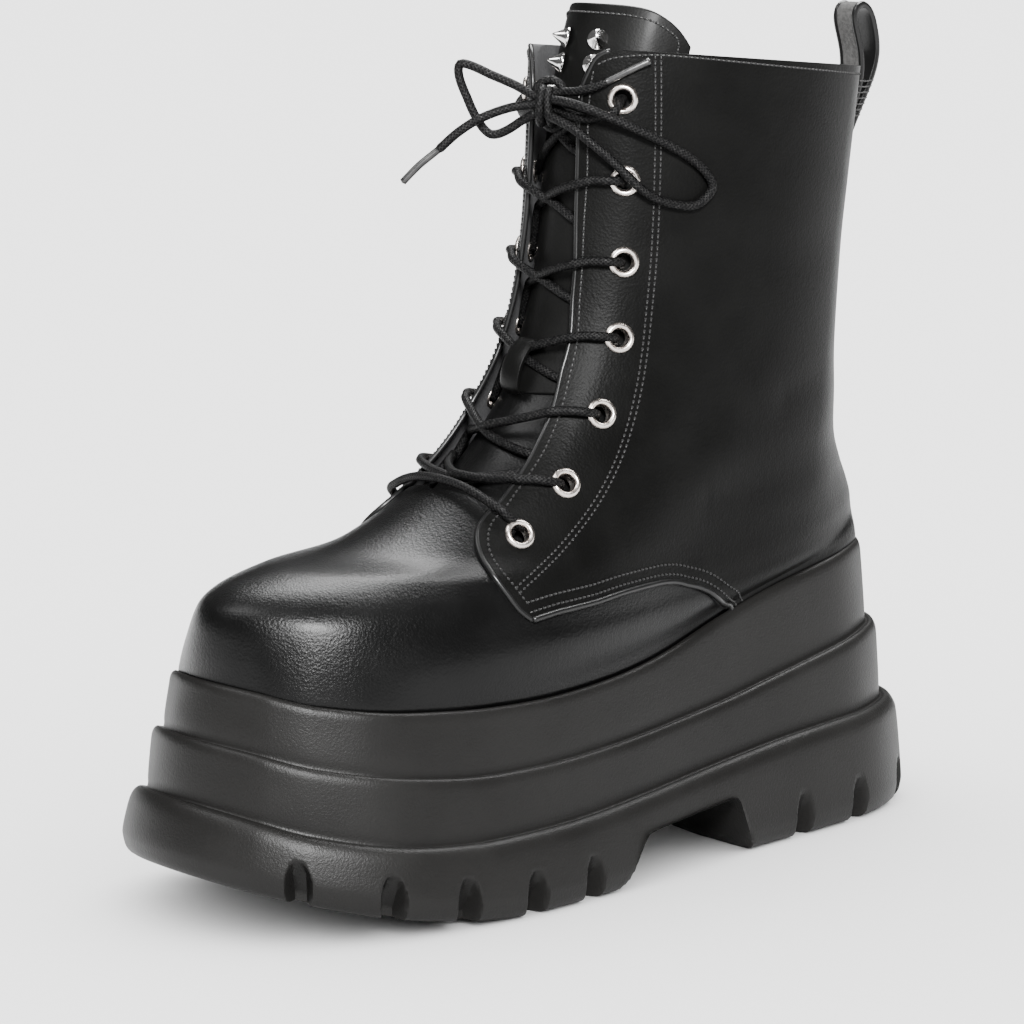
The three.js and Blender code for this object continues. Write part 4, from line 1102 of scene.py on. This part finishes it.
eyelet_x = (last_point(eyelet_turns, eyelet_levels) - last_point(math.pi, eyelet_levels))[:, 0]
lace_runs = []
for row in range(1, 6):
    for side, sink in SINK.items():
        begin, finish = eyelet_levels[row], eyelet_levels[row + 1]
        arrive = max(begin + (finish - begin) * ARRIVE[side], LOWEST_ARRIVAL)
        start, end = eyelet_x[row] - 5.9, 3 - throat_half(arrive)
        # Stations of the run: x from the middle of the throat, and height over the leather.
        stations = [
            (eyelet_x[row] - 0.2, -3.0), (eyelet_x[row] - 0.5, 0.4), (eyelet_x[row] - 2.2, 2.9),
            (eyelet_x[row] - 4.0, 3.3), (start - 0.6, 2.7), (throat_half(begin) + 0.4, 2.75),
            (throat_half(begin) - 4.6, 0.4), (0, -sink), (end, UNDER), (end - 5, UNDER),
        ]
        xs = np.array([x for x, _ in stations])
        levels = begin + (arrive - begin) * np.clip((start - xs) / (start - end), 0, None)
        points = over_front(side * xs, levels, [h for _, h in stations])
        under_next = over_front(-side * (eyelet_x[row + 1] - 1.0), finish + 0.02, -3.6)
        lace_runs.append((f"lace_row_{row + 1}", np.vstack([points, under_next[None]])))
for side, sink in ((1, -3.9), (-1, -4.7)):
    xs = np.array([eyelet_x[0] - 0.3, eyelet_x[0] - 4, 6, -6, 3.5 - eyelet_x[1], 0.3 - eyelet_x[1]])
    share = (xs[0] - xs) / (xs[0] - xs[-1])
    levels = eyelet_levels[0] + (eyelet_levels[1] - eyelet_levels[0]) * share
    lace_runs.append(("lace_row_1", over_front(side * xs, levels, [-2.6, sink, sink, sink, sink, -3.0])))
last_x, last_level = eyelet_x[6], eyelet_levels[6]
bar_shares = np.array([1.02, 0.9, 0.84, 0.72, 0.5, 0.25, 0, -0.25, -0.5, -0.72, -0.84, -0.9, -1.02])
bar_heights = [-2.5, 1.6, 3.2, 2.9, 2.5, 2.2, 2.0, 2.2, 2.5, 2.9, 3.2, 1.6, -2.5]
bar_levels = last_level + 0.12 + 0.6 * (1 - bar_shares ** 2)
lace_runs.append(("lace_bar", over_front(bar_shares * last_x, bar_levels, bar_heights)))
TIE = [(16.8, 6.2, 230.6), (14, 4.2, 230), (9.2, 2, 230.8), (5.4, 1, 231.8), (1.5, 0, 233)]
for side, node in ((1, "lace_tie_lateral"), (-1, "lace_tie_medial")):
    hole = over_front(side * (eyelet_x[0] - np.array([0.1, 0.6, 1.6])),
                      eyelet_levels[0] - np.array([0, 0.02, 0.07]), [-2.8, 0.9, 3.1])
    route = np.array([(MIDDLE + side * (x - MIDDLE), y, z) for x, y, z in TIE])
    lace_runs.append((node, np.vstack([hole, route])))
for number, (node, route) in enumerate(lace_runs, 1):
    strand = rope(f"strand_{number}", paced(smooth_path(route), LACE_STEP), LACE, [braid_finish])
    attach(strand, "root")
    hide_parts(node)

# ---- Lace keeper
# A strap of the tongue's leather, sewn down at both ends over the crossing of the fourth row.
KEEPER = {"half": 4.3, "bottom": 6.42, "top": 7.02, "thick": 1.2, "foot": 1.0, "crest": 0.0}
u, v = np.linspace(-1, 1, 24)[None, :], np.linspace(0, 1, 60)[:, None]
arch = np.sin(math.pi * v) ** 0.4
height = (-TONGUE_FACE + KEEPER["foot"]) * (1 - arch) + KEEPER["crest"] * arch
crown = 0.35 * (1 - u ** 4)
width = KEEPER["half"] * (1 - 0.06 * np.sin(math.pi * v))
level = KEEPER["bottom"] + (KEEPER["top"] - KEEPER["bottom"]) * v
outer = over_front(u * width, level, height + KEEPER["thick"] + crown)
inner = over_front(u * width, level, height + crown * 0.5)
keeper = shell("keeper_strap", outer, inner, [tongue_black], edge=0.45)
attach(keeper, "root")
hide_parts("lace_keeper")

# ---- Pull loop
# One strap folded over and sewn down the back seam: black, with raised edges on its outer face and
# a soft grey band let in between them. Its two legs are tacked together with bars of thread.
STRAP_MIDDLE = -1.5
STRAP_ROUTE = [
    (121.4, 214.6), (125.1, 222.3), (128.7, 229.0), (130.8, 235), (131.5, 240), (130.9, 245.7),
    (129.4, 250.8), (128.2, 255.6), (129.0, 258.9), (131.7, 260.1), (134.9, 257.8), (137.3, 252),
    (138.3, 245), (137, 239), (134.1, 233.1), (130.9, 227.4), (127.4, 221.0), (123.2, 213.6),
]
# Section of the strap: across it, and out from its middle; the last column says which finish.
STRAP_SECTION = [
    (-5.0, -0.5, 0), (-5.0, 0.5, 0), (-4.75, 0.95, 0), (-4.3, 1.1, 0), (-3.7, 1.05, 0), (-3.35, 0.75, 1),
    (-1.5, 0.78, 1), (0, 0.8, 1), (1.5, 0.78, 1), (3.35, 0.75, 0), (3.7, 1.05, 0), (4.3, 1.1, 0),
    (4.75, 0.95, 0), (5.0, 0.5, 0), (5.0, -0.5, 0), (4.7, -0.9, 0), (4.0, -0.95, 0), (2, -0.95, 0),
    (0, -0.95, 0), (-2, -0.95, 0), (-4.0, -0.95, 0), (-4.7, -0.9, 0),
]
suede = Paint("grey_suede", Roughness=0.95)
suede_finish = suede.finish(
    Base_Color=suede.blend(suede.step(suede.noise(900, 4), 0.3, 0.7), (0.02, 0.0195, 0.019, 1),
                           (0.042, 0.041, 0.04, 1)),
    Normal=suede.bump(suede.noise(2600, 3), 0.5, 0.0002),
)
strap_path = paced(smooth_path([(y, z, 0) for y, z in STRAP_ROUTE], 6), 0.7)[:, :2]
strap_ahead = np.gradient(strap_path, axis=0)
strap_ahead /= np.linalg.norm(strap_ahead, axis=1)[:, None]
strap_out = np.stack([-strap_ahead[:, 1], strap_ahead[:, 0]], axis=1)
wide = len(STRAP_SECTION)
points, faces, kinds = [], [], []
for place, out in zip(strap_path, strap_out):
    points += [(STRAP_MIDDLE + x, *(place + out * h)) for x, h, _ in STRAP_SECTION]
for r in range(len(strap_path) - 1):
    for c in range(wide):
        d = (c + 1) % wide
        faces.append((r * wide + c, (r + 1) * wide + c, (r + 1) * wide + d, r * wide + d))
        kinds.append(STRAP_SECTION[c][2])
last = (len(strap_path) - 1) * wide
faces += [tuple(range(wide)), tuple(range(last, last + wide))[::-1]]
strap = new_piece("pull_strap", np.array(points) * MM, faces, [edge_leather, suede_finish], smooth_angle=40)
strap.data.polygons.foreach_set("material_index", kinds + [0, 0])
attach(strap, "root")
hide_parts("pull_loop")

# ---- Insole
# A flat fabric-covered sock inside the upper, on the seat of the sole.
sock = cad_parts["insole"]
for holder in sock.material_slots:
    holder.material = lining

# ---- Stitching
# Rows of black thread along every sewn edge, short stitches that sink into the leather at both
# ends, with a near-black bead between each two: painted shade where the needle hole is.
STITCH_PITCH = 1.8
LINE_STEP = 0.6


def stitch_tree():
    """Geometry nodes that lay small beads along a line, one at each pitch, turned to follow it."""
    tree = bpy.data.node_groups.new("stitch_row", "GeometryNodeTree")
    for label, kind in (("Line", "Geometry"), ("Pitch", "Float"), ("Stitch", "Float"), ("Thread", "Float"),
                        ("Finish", "Material")):
        tree.interface.new_socket(label, in_out="INPUT", socket_type=f"NodeSocket{kind}")
    tree.interface.new_socket("Stitches", in_out="OUTPUT", socket_type="NodeSocketGeometry")

    def node(kind, inputs=None, **settings):
        made = tree.nodes.new(kind)
        for key, value in settings.items():
            setattr(made, key, value)
        for key, value in (inputs or {}).items():
            if isinstance(value, bpy.types.NodeSocket):
                tree.links.new(value, made.inputs[key])
            else:
                made.inputs[key].default_value = value
        return made

    given = node("NodeGroupInput").outputs
    line = node("GeometryNodeMeshToCurve", {0: given["Line"]})
    beads = node("GeometryNodeCurveToPoints", {"Curve": line.outputs[0], "Length": given["Pitch"]},
                 mode="LENGTH")
    bead = node("GeometryNodeMeshUVSphere", {"Segments": 8, "Rings": 5, "Radius": 0.5})
    smooth = node("GeometryNodeSetShadeSmooth", {0: bead.outputs[0]})
    size = node("ShaderNodeCombineXYZ", {0: given["Thread"], 1: given["Thread"], 2: given["Stitch"]})
    rows = node("GeometryNodeInstanceOnPoints",
                {"Points": beads.outputs["Points"], "Instance": smooth.outputs[0],
                 "Rotation": beads.outputs["Rotation"], "Scale": size.outputs[0]})
    whole = node("GeometryNodeRealizeInstances", {0: rows.outputs[0]})
    done = node("GeometryNodeSetMaterial", {0: whole.outputs[0], "Material": given["Finish"]})
    node("NodeGroupOutput", {0: done.outputs[0]})
    return tree


stitches = stitch_tree()
thread = Paint("black_thread", Roughness=0.55)
thread_finish = thread.finish(
    Base_Color=thread.blend(thread.step(thread.noise(1500), 0.35, 0.65), (0.006, 0.006, 0.006, 1),
                            (0.02, 0.0195, 0.019, 1)),
)
# The needle holes are painted shade: near-black beads set between the stitches, standing in for the shadow
# inside each hole.
hole_shade = Paint("painted_hole_shade", Roughness=0.95)
hole_shade_finish = hole_shade.finish(
    Base_Color=hole_shade.blend(hole_shade.noise(900), (0.001, 0.001, 0.001, 1), (0.002, 0.002, 0.002, 1)),
)


def sewn(name, lines, pitch, stitch, width, finish, start=0.0):
    """One mesh of beads along several lines of points in millimetres, the first bead past the start."""
    points, edges = [], []
    for line in lines:
        line = paced(line, LINE_STEP)
        keep = line[int(round(start / LINE_STEP)):]
        edges += [(len(points) + i, len(points) + i + 1) for i in range(len(keep) - 1)]
        points += [tuple(p * MM) for p in keep]
    mesh = bpy.data.meshes.new(name)
    mesh.from_pydata(points, edges, [])
    row = bpy.data.objects.new(name, mesh)
    scene.collection.objects.link(row)
    maker = row.modifiers.new("rows", "NODES")
    maker.node_group = stitches
    values = {"Pitch": pitch * MM, "Stitch": stitch * MM, "Thread": width * MM, "Finish": finish}
    for item in stitches.interface.items_tree:
        if item.in_out == "INPUT" and item.name in values:
            maker[item.identifier] = values[item.name]
    return made_plain(row)


def set_back(turns, levels, distance):
    """A line moved over the last, away from the throat and the foot of the quarter."""
    line = last_point(turns, levels)
    ahead = np.gradient(line, axis=0)
    ahead /= np.linalg.norm(ahead, axis=1)[:, None]
    return nearest(line + np.cross(last_normal(turns, levels), ahead) * distance)


FACING_SEAM = [
    (25.8, 20.3, 248.4), (25.9, 20.4, 229.5), (25.9, 20.1, 211.3), (25.9, 19.1, 190.1), (26.2, 16.9, 171.9),
    (27.3, 12.9, 152.4), (28.7, 6.4, 136.3), (30.9, -3.6, 122.2), (32.7, -15.1, 111.5), (35, -28.9, 102.5),
    (36.5, -38, 98), (37.9, -44.4, 95.2),
]
EDGE_SEAM = [
    (12.9, 7.4, 243.6), (12.7, 6.6, 240.3), (12.3, 5.7, 229.4), (12.8, 5, 214.3), (12.6, 4, 199.2),
    (13.5, 2.5, 187.2), (14.4, 0.5, 175.2), (15.7, -1.3, 163.2), (17.4, -6, 153.1), (19.2, -11.5, 141.5),
    (20.8, -18.4, 132.3), (21.6, -24.2, 126.3), (22.6, -32.1, 119.7), (23.7, -37.7, 115.3),
    (24.0, -42.0, 112.6), (26.3, -45.8, 108.8), (29.9, -47.5, 104.6), (33.6, -47.2, 100.1),
    (37.0, -45.0, 95.2), (39.4, -42.2, 90.4),
]
COLLAR_SEAM = [
    (14.6, 8.1, 246.4), (17.5, 10.4, 248), (21.4, 14.2, 248.8), (25.8, 20.4, 249.1), (31.7, 33.3, 247.9),
    (35.4, 50.7, 245.9), (36, 71.3, 243.6), (28.1, 100.9, 240.5), (18, 114, 239.2), (6, 120.5, 238.6),
    (-1.4, 121.6, 238.6),
]
FOOT_SEAMS = (2.3, 5.3)
SECOND_FACING_SEAM = 1.8
LOWEST_STITCH = 0.1
BACK_SEAM = {"turn": 0.055, "from": 0.9, "to": 8.1, "steps": 120}
SEAM_HEIGHT = LAYER["quarter"] + 0.06
seam_lines = [on_last(line, 10) for line in (FACING_SEAM, EDGE_SEAM, COLLAR_SEAM)]
for distance in FOOT_SEAMS:
    turns, levels = set_back(piping_turns, piping_levels, distance)
    seam_lines.append((turns[levels > LOWEST_STITCH], levels[levels > LOWEST_STITCH]))
seam_lines.append(set_back(*seam_lines[0], SECOND_FACING_SEAM))
back_levels = np.linspace(BACK_SEAM["from"], BACK_SEAM["to"], BACK_SEAM["steps"])
seam_lines.append((np.full_like(back_levels, BACK_SEAM["turn"]), back_levels))
# The tongue's row runs up one edge, across the top and down the other, in the tongue's own u and v.
TONGUE_ROW = {"margin": 0.045, "foot": 0.5, "corner": 0.985, "top": 0.99, "lift": 1.22}
up_edge = np.linspace(TONGUE_ROW["foot"], TONGUE_ROW["corner"], 40)
over_top = np.linspace(TONGUE_ROW["margin"], 1 - TONGUE_ROW["margin"], 90)[1:-1]
tongue_line = tongue_point(
    np.concatenate([np.full_like(up_edge, TONGUE_ROW["margin"]), over_top,
                    np.full_like(up_edge, 1 - TONGUE_ROW["margin"])]),
    np.concatenate([up_edge, np.full_like(over_top, TONGUE_ROW["top"]), up_edge[::-1]]),
    TONGUE_FACE - TONGUE_ROW["lift"],
)
SEAMS = {"tongue": [tongue_line]}
for side_name in ("lateral", "medial"):
    SEAMS[side_name] = [skin(dict(both_sides(turns))[side_name], levels, SEAM_HEIGHT)
                        for turns, levels in seam_lines]
for place in ("lateral", "medial", "tongue"):
    for kind, stitch, width, finish, start in (("stitches", 1.2, 0.55, thread_finish, 0.0),
                                               ("hole_shade_beads", 0.8, 0.85, hole_shade_finish, STITCH_PITCH / 2)):
        row = sewn(f"{kind}_{place}", SEAMS[place], STITCH_PITCH, stitch, width, finish, start)
        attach(row, "root")
# Bars of thread that tack the two legs of the pull loop together, on both sides of it.
TACK = {"bars": 7, "low": 224.5, "high": 235.5, "aside": 5.1, "past": 0.4, "sag": 0.2,
        "pitch": 0.9, "stitch": 1.3, "thread": 0.6}
front_leg, back_leg = np.array(STRAP_ROUTE[:4]), np.array(STRAP_ROUTE[:-6:-1])
tack_lines = []
for side in (-1, 1):
    x = STRAP_MIDDLE + side * TACK["aside"]
    for height in np.linspace(TACK["low"], TACK["high"], TACK["bars"]):
        begin, finish = (np.interp(height, leg[:, 1], leg[:, 0]) for leg in (front_leg, back_leg))
        tack_lines.append(np.array([(x, begin - TACK["past"], height),
                                    (x, (begin + finish) / 2, height - TACK["sag"]),
                                    (x, finish + TACK["past"], height)]))
tacks = sewn("strap_tacks", tack_lines, TACK["pitch"], TACK["stitch"], TACK["thread"], thread_finish)
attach(tacks, "root")
